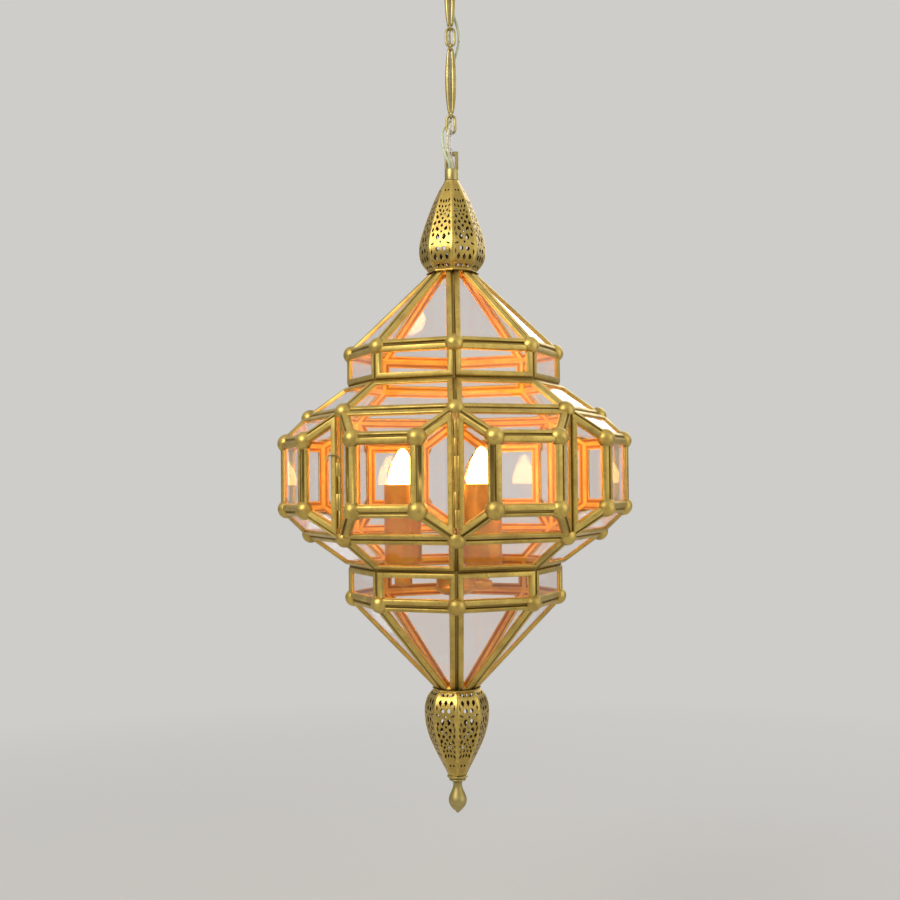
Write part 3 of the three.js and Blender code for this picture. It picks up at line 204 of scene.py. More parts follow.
@dataclass(frozen=True)
class Metal:
    """Brass or steel with blotches of tarnish and fine pits.

    Worn metal is dark in its channels and bright on its crowns. Where its mark is above 1 it faces the
    lights inside, and their warm light is painted into its colour: a painted glow, with dark red painted
    shade in the valleys and in blotches, and yellow on the ridges.
    """

    name: str
    bright: Colour
    dull: Colour
    dark: Colour
    roughness: Pair
    pits: float = 0.5
    worn_and_painted_glow: bool = False
    blotch_scale: float = 38.0
    grain_scale: float = 900.0
    bump: float = 0.12
    grain_depth: float = 0.0004
    # The painted glow of the lights inside, for faces marked above 1: the first colour is the glow itself, the
    # second its dark red painted shade in the valleys, and the blotch share below gives patches of that painted
    # shade
    inside: Colour = (0.92, 0.58, 0.1)
    painted_glow_shade: Colour = (0.42, 0.14, 0.015)
    inside_roughness: float = 0.62
    inside_metallic: float = 0.55
    glow_shade_patches: float = 0.4
    blotch_edges: Pair = (0.38, 0.64)
    pit_edges: Pair = (0.56, 0.7)
    patch_edges: Pair = (0.2, 0.8)
    patch_reach: float = 0.16
    channel_edges: Pair = (0.12, 0.62)
    facing_in: Pair = (1.1, 1.4)
    ridge_edges: Pair = (1.55, 1.98)
    glow_shade_patch_edges: Pair = (0.42, 0.6)

    def material(self) -> bpy.types.Material:
        """Builds the finish.

        Returns:
            The material.
        """
        shader = Shader(self.name)
        shader.set(Metallic=1.0)
        blotches = shader.noise(self.blotch_scale, 5.0, 0.62)
        colour = shader.blend(shader.span(blotches, self.blotch_edges), self.bright, self.dull)
        specks = shader.noise(self.grain_scale / 3, 4.0, 0.7)
        pitted = shader.reckon("MULTIPLY", shader.span(specks, self.pit_edges), self.pits)
        colour = shader.blend(pitted, colour, self.dark)
        roughness = shader.span(blotches, (0.3, 0.7), self.roughness)
        if self.worn_and_painted_glow:
            colour, roughness = self.wear_and_painted_glow(shader, blotches, colour, roughness)
        normal = shader.bump(shader.noise(self.grain_scale, 3.0, 0.6), self.bump, self.grain_depth)
        shader.set(Base_Color=colour, Roughness=roughness, Normal=normal)
        return shader.material

    def wear_and_painted_glow(
        self, shader: Shader, blotches: Socket, colour: Socket, roughness: Socket
    ) -> tuple[Socket, Socket]:
        """Darkens the channels, and paints the warm glow of the lights inside onto what faces them.

        Args:
            shader: the material that is being built.
            blotches: its pattern of tarnish.
            colour: its colour so far.
            roughness: its roughness so far.

        Returns:
            The new colour and roughness.
        """
        crown = shader.add("ShaderNodeAttribute", {}, "Fac", attribute_name="crown")
        patches = shader.span(blotches, self.patch_edges, (-self.patch_reach, self.patch_reach))
        raised = shader.span(shader.reckon("ADD", crown, patches), self.channel_edges)
        colour = shader.blend(raised, self.dark, colour)
        # Faces marked above 1 get the painted glow of the lights inside: yellow on the ridges, dark red painted
        # shade in the valleys and in blotches
        inner = shader.span(crown, self.facing_in)
        glow_shade_patches = shader.reckon("MULTIPLY", shader.span(blotches, self.glow_shade_patch_edges), self.glow_shade_patches)
        valley = shader.reckon("MAXIMUM", shader.span(crown, self.ridge_edges, (1.0, 0.0)), glow_shade_patches)
        lit = shader.blend(valley, self.inside, self.painted_glow_shade)
        matt = shader.reckon("MULTIPLY", inner, self.inside_roughness)
        shader.set(Metallic=shader.span(inner, (0.0, 1.0), (1.0, self.inside_metallic)))
        return shader.blend(inner, colour, lit), shader.reckon("MAXIMUM", roughness, matt)


@dataclass(frozen=True)
class Glass:
    """Clear glass with a faint tint and the slight waves of drawn sheet, which lets lamps through."""

    name: str
    tint: Colour
    wave_scale: float = 26.0
    wave: float = 0.06
    wave_depth: float = 0.002
    ior: float = 1.47
    roughness: float = 0.015
    streak_scale: float = 9.0
    streak_gain: float = 1.04
    shadow_power: float = 1.5

    def material(self) -> bpy.types.Material:
        """Builds the finish.

        Returns:
            The material.
        """
        shader = Shader(self.name)
        waves = shader.bump(shader.noise(self.wave_scale, 1.0), self.wave, self.wave_depth)
        streaks = shader.span(shader.noise(self.streak_scale, 2.0), (0.3, 0.7))
        tint = shader.blend(streaks, self.tint, tuple(min(1.0, part * self.streak_gain) for part in self.tint))
        shader.set(Base_Color=tint, Normal=waves)
        shader.set(Roughness=self.roughness, IOR=self.ior, Transmission_Weight=1.0)
        shade = tuple(part**self.shadow_power for part in self.tint)
        through = shader.add("ShaderNodeBsdfTransparent", {"Color": solid(shade)})
        shadow = shader.add("ShaderNodeLightPath", {}, "Is Shadow Ray")
        shader.feed(shader.out, shader.layer(shadow, shader.principled.outputs[0], through))
        return shader.material


@dataclass(frozen=True)
class Glow:
    """The white-hot body of light inside a lit bulb, warmer towards its foot and its edge."""

    name: str
    foot: Colour
    heart: Colour
    strength: float
    heights: Pair
    edge_blend: float = 0.35
    edge: Pair = (0.1, 0.75)
    flicker_scale: float = 120.0
    flicker: Pair = (0.9, 1.0)

    def material(self) -> bpy.types.Material:
        """Builds the finish.

        Returns:
            The material.
        """
        shader = Shader(self.name)
        rise = shader.span(shader.add("ShaderNodeSeparateXYZ", {0: shader.place}, "Z"), self.heights)
        facing = shader.add("ShaderNodeLayerWeight", {"Blend": self.edge_blend}, "Facing")
        middle = shader.span(facing, self.edge, (1.0, 0.0))
        flicker = shader.span(shader.noise(self.flicker_scale, 2.0), (0.3, 0.7), self.flicker)
        heat = shader.reckon("MULTIPLY", shader.reckon("MULTIPLY", rise, middle), flicker)
        shader.set(Base_Color=solid(self.heart), Roughness=0.4)
        shader.set(Emission_Color=shader.blend(heat, self.foot, self.heart), Emission_Strength=self.strength)
        return shader.material


@dataclass(frozen=True)
class Glaze:
    """Glazed ceramic, or plastic sleeving that twisted cores may show through."""

    name: str
    light: Colour
    shade: Colour
    roughness: Pair
    scale: float
    twist: float = 0.0
    sheen: float = 0.0
    cores: Colour = (0.2, 0.11, 0.06)
    core_edges: Pair = (0.5, 0.95)
    core_share: float = 0.3

    def material(self) -> bpy.types.Material:
        """Builds the finish.

        Returns:
            The material.
        """
        shader = Shader(self.name)
        cloud = shader.noise(self.scale, 4.0, 0.6)
        colour = shader.blend(shader.span(cloud, (0.35, 0.65)), self.light, self.shade)
        if self.twist:
            inputs = {"Vector": shader.place, "Scale": self.twist, "Distortion": 1.6, "Detail": 1.0}
            bands = shader.add("ShaderNodeTexWave", inputs, "Fac", bands_direction="DIAGONAL")
            share = shader.span(bands, self.core_edges, (0.0, self.core_share))
            colour = shader.blend(share, colour, self.cores)
        roughness = shader.span(cloud, (0.3, 0.7), self.roughness)
        normal = shader.bump(shader.noise(self.scale * 12, 2.0), 0.05, 0.0005)
        shader.set(Base_Color=colour, Roughness=roughness, Normal=normal, Coat_Weight=self.sheen)
        return shader.material


class Finishes:
    """The finishes of this lantern, each built once."""

    def __init__(self) -> None:
        """Builds every material."""
        olive = ((0.66, 0.48, 0.125), (0.47, 0.33, 0.09), (0.11, 0.065, 0.02))
        gold = ((0.5, 0.41, 0.17), (0.37, 0.29, 0.1), (0.12, 0.08, 0.03))
        # The candle parts are brass; this orange stands in for the bulbs' light on them, a painted glow
        painted_glow_amber = ((0.78, 0.41, 0.06), (0.64, 0.31, 0.04), (0.2, 0.09, 0.02))
        silver = ((0.6, 0.6, 0.57), (0.46, 0.46, 0.44), (0.2, 0.2, 0.19))
        # These two are worn, and their faces marked above 1 carry the painted glow of the lights inside
        beaded = Metal("beaded_antique_brass", *olive, (0.36, 0.5), worn_and_painted_glow=True)
        pierced = Metal("pierced_antique_brass", *olive, (0.3, 0.44), worn_and_painted_glow=True, blotch_scale=60.0)
        plain = Metal("antique_brass_plain", *olive, (0.3, 0.45))
        polished = Metal("polished_brass_plain", *gold, (0.36, 0.5), pits=0.25, bump=0.06)
        candle = Metal("candle_brass_painted_glow", *painted_glow_amber, (0.34, 0.46), pits=0.3).material()
        steel = Metal("bright_steel", *silver, (0.22, 0.36), pits=0.3, bump=0.05).material()
        pane = Glass("clear_pane", (0.95, 0.915, 0.9), ior=1.33)
        envelope = Glass("bulb_envelope", (1.0, 0.86, 0.62), wave=0.0)
        heights = (MIDDLE - 0.02, MIDDLE + 0.004)
        glow = Glow("bulb_glow", (1.0, 0.5, 0.13), (1.0, 0.74, 0.32), 38.0, heights)
        porcelain = Glaze("porcelain_glaze", (0.78, 0.74, 0.65), (0.7, 0.65, 0.55), (0.25, 0.4), 60.0)
        flex = Glaze(
            "clear_sleeving_over_cores", (0.72, 0.66, 0.46), (0.6, 0.54, 0.36), (0.18, 0.3), 90.0, 70.0, 0.5
        )
        earth = Glaze("earth_sleeving", (0.63, 0.7, 0.47), (0.53, 0.6, 0.36), (0.35, 0.5), 80.0, sheen=0.2)
        self.beaded = Coat(beaded.material(), Slot.ANTIQUE)
        self.pierced = Coat(pierced.material(), Slot.ANTIQUE)
        self.antique = Coat(plain.material(), Slot.ANTIQUE)
        self.polished = Coat(polished.material(), Slot.POLISHED)
        # Hub, arms, pans and sleeves: brass with the painted orange glow of the bulbs
        self.candle = Coat(candle, Slot.ANTIQUE)
        self.sleeve = Coat(candle, Slot.POLISHED)
        self.steel = Coat(steel, Slot.STEEL)
        self.screw = Coat(steel, Slot.BULB)
        self.pane = Coat(pane.material(), Slot.PANE)
        self.envelope = Coat(envelope.material(), Slot.BULB)
        self.glow = Coat(glow.material(), Slot.BULB)
        self.porcelain = Coat(porcelain.material(), Slot.PORCELAIN)
        self.flex = Coat(flex.material(), Slot.CLEAR_SLEEVING)
        self.earth = Coat(earth.material(), Slot.EARTH_SLEEVING)


# Work on meshes

CRISP = math.radians(50.0)
TUBE_ROUNDNESS = 3


def points_of(made: dict) -> list[bmesh.types.BMVert]:
    """The points among what an operator made."""
    return [item for item in made["geom"] if isinstance(item, bmesh.types.BMVert)]


class Work:
    """A mesh being made, in millimetres about the lantern's middle plane."""

    def __init__(self) -> None:
        """Starts with an empty mesh that keeps, for each point, how far it stands out, or, above 1, that it
        faces the lights inside and takes their painted glow.
        """
        self.bm = bmesh.new()
        self.crown = self.bm.verts.layers.float.new("crown")

    def everything(self) -> list:
        """All the mesh's points, edges and faces."""
        return [*self.bm.verts, *self.bm.edges, *self.bm.faces]

    def mark(self, crown: float | Callable[[Vector], float]) -> "Work":
        """Marks how far every point stands out.

        Args:
            crown: a share, or a rule that gives it from the point's place.

        Returns:
            The work itself.
        """
        for vert in self.bm.verts:
            vert[self.crown] = crown(vert.co) if callable(crown) else crown
        return self

    def absorb(self, other: "Work", *moves: Matrix) -> "Work":
        """Adds another mesh, once for each move, or once as it stands.

        Args:
            other: the mesh to add.
            moves: where its copies go.

        Returns:
            The work itself.
        """
        for move in moves or (Matrix.Identity(4),):
            spare = bpy.data.meshes.new("spare")
            other.bm.to_mesh(spare)
            spare.transform(move)
            self.bm.from_mesh(spare)
            bpy.data.meshes.remove(spare)
        return self

    def revolve(self, profile: Profile, steps: int, closed: bool = False, base: float = 0.0) -> "Work":
        """Spins a line of radii and heights about the upright axis.

        Args:
            profile: the line's points, from which the outside lies to the right or left throughout.
            steps: the number of faces round.
            closed: whether the line's last point joins its first.
            base: the height that the line's heights are counted from.

        Returns:
            The work itself.
        """
        verts = [self.bm.verts.new((max(radius, 0.0), 0, base + height)) for radius, height in profile]
        pairs = list(zip(verts, verts[1:])) + ([(verts[-1], verts[0])] if closed else [])
        edges = [self.bm.edges.new(pair) for pair in pairs]
        bmesh.ops.spin(
            self.bm, geom=verts + edges, cent=(0, 0, 0), axis=UP, angle=2 * math.pi, steps=steps, use_merge=True
        )
        return self.close()

    def prism(self, outline: Sequence[Vector], along: Vector) -> "Work":
        """Builds a solid between a flat outline and its copy a way along.

        Args:
            outline: the corners.
            along: the way to the copy.

        Returns:
            The work itself.
        """
        face = self.bm.faces.new([self.bm.verts.new(point) for point in outline])
        made = bmesh.ops.extrude_face_region(self.bm, geom=[face], use_keep_orig=True)
        bmesh.ops.translate(self.bm, verts=points_of(made), vec=along)
        return self.close()

    def block(self, size: Point, rounding: float, segments: int = 2) -> "Work":
        """Builds a block with rounded edges about the origin."""
        bmesh.ops.create_cube(self.bm, size=1.0)
        return self.move(Matrix.Diagonal((*size, 1))).soften(rounding, segments)

    def close(self) -> "Work":
        """Merges doubles and turns every face outwards.

        Returns:
            The work itself.
        """
        bmesh.ops.remove_doubles(self.bm, verts=self.bm.verts, dist=1e-3)
        bmesh.ops.recalc_face_normals(self.bm, faces=self.bm.faces)
        return self

    def soften(self, offset: float, segments: int = 2) -> "Work":
        """Rounds every crisp edge.

        Args:
            offset: how far the rounding reaches.
            segments: its number of faces.

        Returns:
            The work itself.
        """
        sharp = [edge for edge in self.bm.edges if edge.is_manifold and edge.calc_face_angle(0.0) > CRISP]
        self.bevel(sharp, offset, segments)
        return self

    def cut(self, planes: Sequence[Plane]) -> "Work":
        """Cuts the mesh along planes, and keeps both sides.

        Args:
            planes: where to cut.

        Returns:
            The work itself.
        """
        for point, normal in planes:
            bmesh.ops.bisect_plane(self.bm, geom=self.everything(), plane_co=point, plane_no=normal, dist=1e-4)
        return self

    def bevel(self, edges: list, offset: float, segments: int) -> None:
        """Rounds some edges.

        Args:
            edges: the edges.
            offset: how far the rounding reaches.
            segments: its number of faces.
        """
        bmesh.ops.bevel(
            self.bm, geom=edges, offset=offset, segments=segments, profile=0.5, affect="EDGES",
            clamp_overlap=True, material=-1,
        )

    def move(self, *moves: Matrix) -> "Work":
        """Moves the whole mesh.

        Args:
            moves: the moves, one after another.

        Returns:
            The work itself.
        """
        for move in moves:
            self.bm.transform(move)
        return self

    def repeat(self) -> "Work":
        """Repeats the mesh round the upright axis, once for each side of the lantern.

        Returns:
            The work itself.
        """
        bmesh.ops.spin(
            self.bm, geom=self.everything(), cent=(0, 0, 0), axis=UP, angle=2 * math.pi * (SIDES - 1) / SIDES,
            steps=SIDES - 1, use_duplicate=True,
        )
        return self

    def finish(
        self, name: str, coat: Coat, node: str, body: Body = Body.LANTERN, sharp: float = 38.0
    ) -> None:
        """Makes the finished piece, in its place and on its body.

        Args:
            name: the piece's name.
            coat: its finish.
            node: the solid that it stands for.
            body: what it rides on.
            sharp: the angle in degrees above which an edge stays crisp.
        """
        self.bm.transform(TO_PLACE)
        mesh = bpy.data.meshes.new(name)
        self.bm.to_mesh(mesh)
        self.bm.free()
        mesh.shade_smooth()
        mesh.set_sharp_from_angle(angle=math.radians(sharp))
        settle(name, mesh, coat, node, body)


def settle(name: str, mesh: bpy.types.Mesh, coat: Coat, node: str, body: Body | None) -> bpy.types.Object:
    """Puts a finished mesh in the scene.

    Args:
        name: the piece's name.
        mesh: its mesh, in place.
        coat: its finish.
        node: the solid that it stands for.
        body: what it rides on, or nothing.

    Returns:
        The piece.
    """
    piece = bpy.data.objects.new(name, mesh)
    bpy.context.scene.collection.objects.link(piece)
    mesh.materials.append(coat.material)
    if body:
        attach(piece, body.value)
    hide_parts(node)
    LOG.info("%s: %d faces", name, len(mesh.polygons))
    return piece


def on_ring(radius: float, angle: float, height: float) -> Vector:
    """A point on a ring, at an angle round from the front."""
    return Vector((radius * math.sin(angle), -radius * math.cos(angle), height))


def turn(angle: float) -> Matrix:
    """A turn about the upright axis."""
    return Matrix.Rotation(angle, 4, "Z")


def curve_points(knots: Sequence[Pair], steps: int = 3) -> Profile:
    """Points on a smooth line through knots in a plane."""
    line = smooth_route([Vector((a, b, 0)) for a, b in knots], None, steps)
    return [(point.x, point.y) for point in line]


def smooth_route(points: Sequence[Vector], step: float | None, steps: int = 4) -> list[Vector]:
    """Points along a smooth line that passes through given points and doesn't overshoot them.

    Args:
        points: the points that the line passes through.
        step: the wanted distance between neighbours, or nothing for a set number.
        steps: that number, for each span between points.

    Returns:
        The line's points, the given ends included.
    """
    ends = [2 * points[0] - points[1], *points, 2 * points[-1] - points[-2]]
    line = []
    for a, b, c, d in zip(ends, ends[1:], ends[2:], ends[3:]):
        knots = [0.0]
        for near, far in ((a, b), (b, c), (c, d)):
            knots.append(knots[-1] + math.sqrt((far - near).length))
        count = max(2, round((c - b).length / step)) if step else steps
        line.extend(between((a, b, c, d), knots, i / count) for i in range(count))
    return [*line, points[-1].copy()]


def between(points: Sequence[Vector], knots: list[float], share: float) -> Vector:
    """A point on the middle span of four, where neighbours are mixed level by level.

    Args:
        points: the four points.
        knots: their distances along the line.
        share: the share of the span.

    Returns:
        The point.
    """
    at = knots[1] + (knots[2] - knots[1]) * share
    row = list(points)
    for spans in (((0, 1), (1, 2), (2, 3)), ((0, 2), (1, 3)), ((1, 2),)):
        row = [
            near + (far - near) * ((at - knots[a]) / (knots[b] - knots[a]))
            for (a, b), near, far in zip(spans, row, row[1:])
        ]
    return row[0]


def tube(name: str, route: Sequence[Vector], radius: float) -> bpy.types.Mesh:
    """A round tube with closed ends along a route, all in metres.

    Args:
        name: the mesh's name.
        route: the points of its centreline.
        radius: half its thickness.

    Returns:
        The mesh.
    """
    line = bpy.data.curves.new(name, "CURVE")
    line.dimensions = "3D"
    line.bevel_depth = radius
    line.bevel_resolution = TUBE_ROUNDNESS
    line.use_fill_caps = True
    spline = line.splines.new("POLY")
    spline.points.add(len(route) - 1)
    for knot, place in zip(spline.points, route):
        knot.co = (*place, 1)
    holder = bpy.data.objects.new(name, line)
    bpy.context.scene.collection.objects.link(holder)
    shape = holder.evaluated_get(bpy.context.evaluated_depsgraph_get())
    mesh = bpy.data.meshes.new_from_object(shape)
    bpy.data.objects.remove(holder)
    bpy.data.curves.remove(line)
    merged = bmesh.new()
    merged.from_mesh(mesh)
    bmesh.ops.remove_doubles(merged, verts=merged.verts, dist=1e-6)
    bmesh.ops.recalc_face_normals(merged, faces=merged.faces)
    merged.to_mesh(mesh)
    merged.free()
    mesh.shade_smooth()
    return mesh


# Camera, floor and light


def hang(name: str, data: bpy.types.ID) -> bpy.types.Object:
    """Puts a camera, a lamp or a mesh in the scene.

    Args:
        name: its name.
        data: what it shows.

    Returns:
        The object.
    """
    thing = bpy.data.objects.new(name, data)
    bpy.context.scene.collection.objects.link(thing)
    return thing


@dataclass
class Studio:
    """The camera at the photograph's place, a plain pale floor and soft light."""

    distance: float = 1.3655
    below_middle: float = 0.00876
    pitch: float = 1.52
    yaw: float = -0.2
    roll: float = -0.56
    turned: float = -0.42
    lens: float = 49.654
    sensor: float = 36.0
    floor_height: float = -1.27
    floor_radius: float = 4.0
    floor_sides: int = 96
    floor_colour: Colour = (0.56, 0.55, 0.535)
    fade: Pair = (0.5, 2.2)
    backdrop: Colour = (0.62, 0.61, 0.59)
    room: tuple[Pair, ...] = ((0.0, 0.4), (0.42, 0.22), (0.55, 0.42), (0.75, 0.62), (1.0, 0.85))

    def build(self) -> None:
        """Builds the camera first, then what stands round the lantern."""
        self.camera()
        self.floor()
        self.world()
        self.lamp("key", (-1.2, -1.5, 0.5), 1.1, 27.0, (1.0, 0.97, 0.9))
        self.lamp("side", (1.6, -0.7, -0.3), 1.6, 8.0, (1.0, 0.98, 0.94))
        self.lamp("rim", (0.9, 1.6, 0.3), 1.2, 8.0, (0.97, 0.98, 1.0))

    def camera(self) -> None:
        """Stands the camera where the photograph was taken from."""
        pitch, yaw, roll = (math.radians(angle) for angle in (self.pitch, self.yaw, self.roll))
        ahead = Vector((math.sin(yaw) * math.cos(pitch), math.cos(yaw) * math.cos(pitch), math.sin(pitch)))
        right = Vector((math.cos(yaw), -math.sin(yaw), 0))
        above = right.cross(ahead)
        across = right * math.cos(roll) + above * math.sin(roll)
        upright = above * math.cos(roll) - right * math.sin(roll)
        data = bpy.data.cameras.new("camera")
        data.lens = self.lens
        data.sensor_width = self.sensor
        camera = hang("camera", data)
        axes = Matrix((across, upright, -ahead)).transposed().to_4x4()
        stand = Matrix.Translation((0, -self.distance, MIDDLE - self.below_middle))
        camera.matrix_world = turn(math.radians(self.turned)) @ stand @ axes
        bpy.context.scene.camera = camera

    def floor(self) -> None:
        """Lays a round pale floor that fades into the backdrop."""
        disc = bmesh.new()
        bmesh.ops.create_circle(disc, cap_ends=True, segments=self.floor_sides, radius=self.floor_radius)
        bmesh.ops.translate(disc, verts=disc.verts, vec=(0, 0, self.floor_height))
        mesh = bpy.data.meshes.new("floor")
        disc.to_mesh(mesh)
        disc.free()
        shader = Shader("pale_floor")
        flat = shader.add("ShaderNodeVectorMath", {0: shader.place, 1: (1, 1, 0)}, operation="MULTIPLY")
        away = shader.add("ShaderNodeVectorMath", {0: flat}, "Value", operation="LENGTH")
        shader.set(Base_Color=solid(self.floor_colour), Roughness=0.8, Specular_IOR_Level=0.1)
        far = shader.add("ShaderNodeEmission", {"Color": solid(self.backdrop), "Strength": 1.0})
        mixed = shader.layer(shader.span(away, self.fade), shader.principled.outputs[0], far)
        shader.feed(shader.out, mixed)
        mesh.materials.append(shader.material)
        hang("floor", mesh)

    def world(self) -> None:
        """Gives a pale backdrop, and a softer room for light and reflections."""
        world = bpy.data.worlds.new("room")
        world.use_nodes = True
        bpy.context.scene.world = world
        world.node_tree.nodes.clear()
        sky = Nodes(world.node_tree)
        place = sky.add("ShaderNodeTexCoord", {}, "Generated")
        height = sky.span(sky.add("ShaderNodeSeparateXYZ", {0: place}, "Z"), (-1.0, 1.0))
        shade = sky.add("ShaderNodeValToRGB", {"Fac": height}, "Color")
        stops = shade.node.color_ramp.elements
        for i, (at, grey) in enumerate(self.room):
            stop = stops[i] if i < 2 else stops.new(at)
            stop.position = at
            stop.color = (grey, grey * 0.99, grey * 0.96, 1)
        room = sky.add("ShaderNodeBackground", {"Color": shade})
        shown = sky.add("ShaderNodeBackground", {"Color": solid(self.backdrop)})
        looked_at = sky.add("ShaderNodeLightPath", {}, "Is Camera Ray")
        seen = sky.reckon("MAXIMUM", looked_at, looked_at.node.outputs["Is Transmission Ray"])
        out = world.node_tree.nodes.new("ShaderNodeOutputWorld")
        sky.feed(out.inputs["Surface"], sky.layer(seen, room, shown))

    def lamp(self, name: str, place: Point, size: float, power: float, colour: Colour) -> None:
        """Hangs one soft square lamp that faces the lantern.

        Args:
            name: its name.
            place: where it hangs.
            size: its width in metres.
            power: its power in watts.
            colour: its colour.
        """
        light = bpy.data.lights.new(name, "AREA")
        light.shape = "SQUARE"
        light.size = size
        light.energy = power
        light.color = colour
        lamp = hang(name, light)
        lamp.location = place
        lamp.rotation_mode = "QUATERNION"
        lamp.rotation_quaternion = (Vector((0, 0, MIDDLE)) - Vector(place)).to_track_quat("-Z", "Y")


# Wires


@dataclass
class Wire:
    """One wire beside the chain, in pieces cut at heights down the chain."""

    name: str
    node: str
    radius: float
    route: list[Point]
    cuts: tuple[float, ...] = (582.0, 533.0, 484.4, 435.6, 388.6, 360.6)
    step: float = 2.5
    bends: tuple[tuple[Body, Body, float, float], ...] = (
        (Body.CEILING, Body.TOP_RING, 597.0, 584.0),
        (Body.TOP_RING, Body.UPPER_LINK, 580.0, 566.0),
        (Body.UPPER_LINK, Body.MIDDLE_RING, 500.0, 486.0),
        (Body.MIDDLE_RING, Body.LOWER_LINK, 483.0, 469.0),
        (Body.LOWER_LINK, Body.LOW_RING, 402.0, 389.0),
        (Body.LOW_RING, Body.SHACKLE, 384.0, 372.0),
        (Body.SHACKLE, Body.LANTERN, 357.0, 344.0),
    )

    def build(self, coat: Coat) -> None:
        """Builds the wire's pieces from the ceiling down.

        Args:
            coat: the sleeving.
        """
        line = smooth_route([Vector(point) for point in self.route], self.step)
        for i, (run, (above, below, start, end)) in enumerate(zip(self.runs(line), self.bends)):
            path = [TO_PLACE @ point for point in run]
            name = f"{self.name}_{i + 1}"
            piece = settle(name, tube(name, path, self.radius / 1000), coat, self.node, None)
            upper, lower = (TO_PLACE @ Vector((0, 0, height)) for height in (start, end))
            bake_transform(piece)
            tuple(upper)
            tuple(lower)
            length = sum((far - near).length for near, far in zip(path, path[1:]))
            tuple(path[0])

    def runs(self, line: list[Vector]) -> list[list[Vector]]:
        """Cuts the wire's line at its cut heights.

        Args:
            line: the points of the whole centreline, from the top.

        Returns:
            The points of each piece, where neighbours share their end.
        """
        found, start = [], 0
        for height in self.cuts:
            stop = next(i for i, point in enumerate(line) if i > start and point.z <= height)
            found.append(line[start : stop + 1])
            start = stop
        return [*found, line[start:]]


FLEX = Wire(
    "mains_flex_run", "mains_flex", 1.8,
    [
        (-2.3, 15, 624), (-2.3, 15, 604), (-2.4, 10.5, 588), (-2.4, 7.8, 570), (-2.4, 7.7, 510),
        (-0.8, 7.7, 488), (-2.4, 7.7, 465), (-2.4, 7.7, 412), (-0.9, 7.8, 397.5), (-0.3, 4.2, 389.4),
        (-0.3, 0, 387.8), (-0.5, -4, 386.4), (-2.2, -7.2, 381), (-3.8, -7, 374), (-4.4, -6.4, 364),
        (-3.6, -6.2, 355), (-0.6, -5.2, 348.5), (1.4, -1.9, 342.4), (1.8, -0.2, 337), (1.8, -0.2, 329),
    ],
)
EARTH = Wire(
    "earth_wire_run", "earth_wire", 1.6,
    [
        (2.1, 15, 624), (2.1, 15, 604), (2.4, 11, 588), (2.6, 7.8, 570), (2.8, 7.8, 520),
        (9.2, 6.6, 494), (9.2, 6.5, 480), (3.4, 7.7, 456), (2.4, 7.8, 420), (0.6, 11.6, 402),
        (-5.4, 9.4, 390), (-9.4, 2.6, 381), (-9.8, -3, 373), (-9.2, -5.4, 364), (-7.6, -6.2, 355),
        (-4.8, -5.6, 348.6), (-2.2, -3.1, 343), (-2.1, -0.6, 338.4), (-2.1, 0, 329),
    ],
)


# Glazed body

CONE_TOP = (17.0, 227.0)
UPPER_OUTER = (115.0, 134.3)
UPPER_INNER = (115.0, 97.1)
UPPER_SHOULDER = (162.0, 63.3)
LOWER_SHOULDER = (162.0, -63.3)
LOWER_INNER = (115.0, -97.1)
LOWER_OUTER = (115.0, -134.3)
CONE_BOTTOM = (17.0, -236.0)
FIT_GAP = 0.15
BALL_DEPTH = 0.45
BALL_STEPS = (28, 18)
BALL_CROWN = (0.45, 1.0)
KNUCKLE_CROWN = 0.8

# Marks of the surfaces that face the lights inside, for the painted glow of those lights: dark red painted
# shade at the valley, yellow at the edge and the ridge
INNER_VALLEY = 1.45
INNER_EDGE = 1.9
INNER_RIDGE = 2.0


class Pane:
    """A flat pane of four corners, anticlockwise from outside, that knows what lies across each edge."""

    def __init__(self, corners: Sequence[Vector], neighbours: Sequence[Vector | None] = (None,) * 4) -> None:
        """Works out the pane's normal, and how each edge leans towards its mitre.

        Args:
            corners: its corners.
            neighbours: the normal of what lies across each edge.
        """
        self.corners = list(corners)
        first, second, _, last = self.corners
        self.normal = (second - first).cross(last - first).normalized()
        self.inwards: list[Vector] = []
        self.leans: list[float] = []
        for i, corner in enumerate(self.corners):
            along = (self.corners[(i + 1) % 4] - corner).normalized()
            inward = self.normal.cross(along)
            beyond = self.normal if neighbours[i] is None else neighbours[i]
            middle = (self.normal + beyond).normalized()
            self.inwards.append(inward)
            self.leans.append(middle.dot(inward) / middle.dot(self.normal))

    def place(self, index: int, height: float, insets: Sequence[float]) -> Vector:
        """The point at a corner, a height above the pane and inset from its two mitres.

        Args:
            index: the corner's number.
            height: the height above the pane.
            insets: how far in from each mitre.

        Returns:
            The point.
        """
        before = (index + 3) % 4
        rows = Matrix((self.normal, self.inwards[before], self.inwards[index]))
        across = (height * self.leans[before] + insets[before], height * self.leans[index] + insets[index])
        return self.corners[index] + rows.inverted() @ Vector((height, *across))

    def measure(self, point: Vector) -> Pair:
        """A point's height above the pane, and its distance in from the nearest mitre.

        Args:
            point: the point.

        Returns:
            The height and the distance.
        """
        height = (point - self.corners[0]).dot(self.normal)
        across = [
            (point - corner).dot(inward) - height * lean
            for corner, inward, lean in zip(self.corners, self.inwards, self.leans)
        ]
        return height, min(across)

    def nearest(self, point: Vector) -> int:
        """The number of the corner that a point belongs to."""
        return min(range(4), key=lambda i: (point - self.corners[i]).length)

    def behind(self, depth: float) -> Plane:
        """A point and the normal of the plane a depth behind the pane."""
        return self.corners[0] - self.normal * depth, self.normal


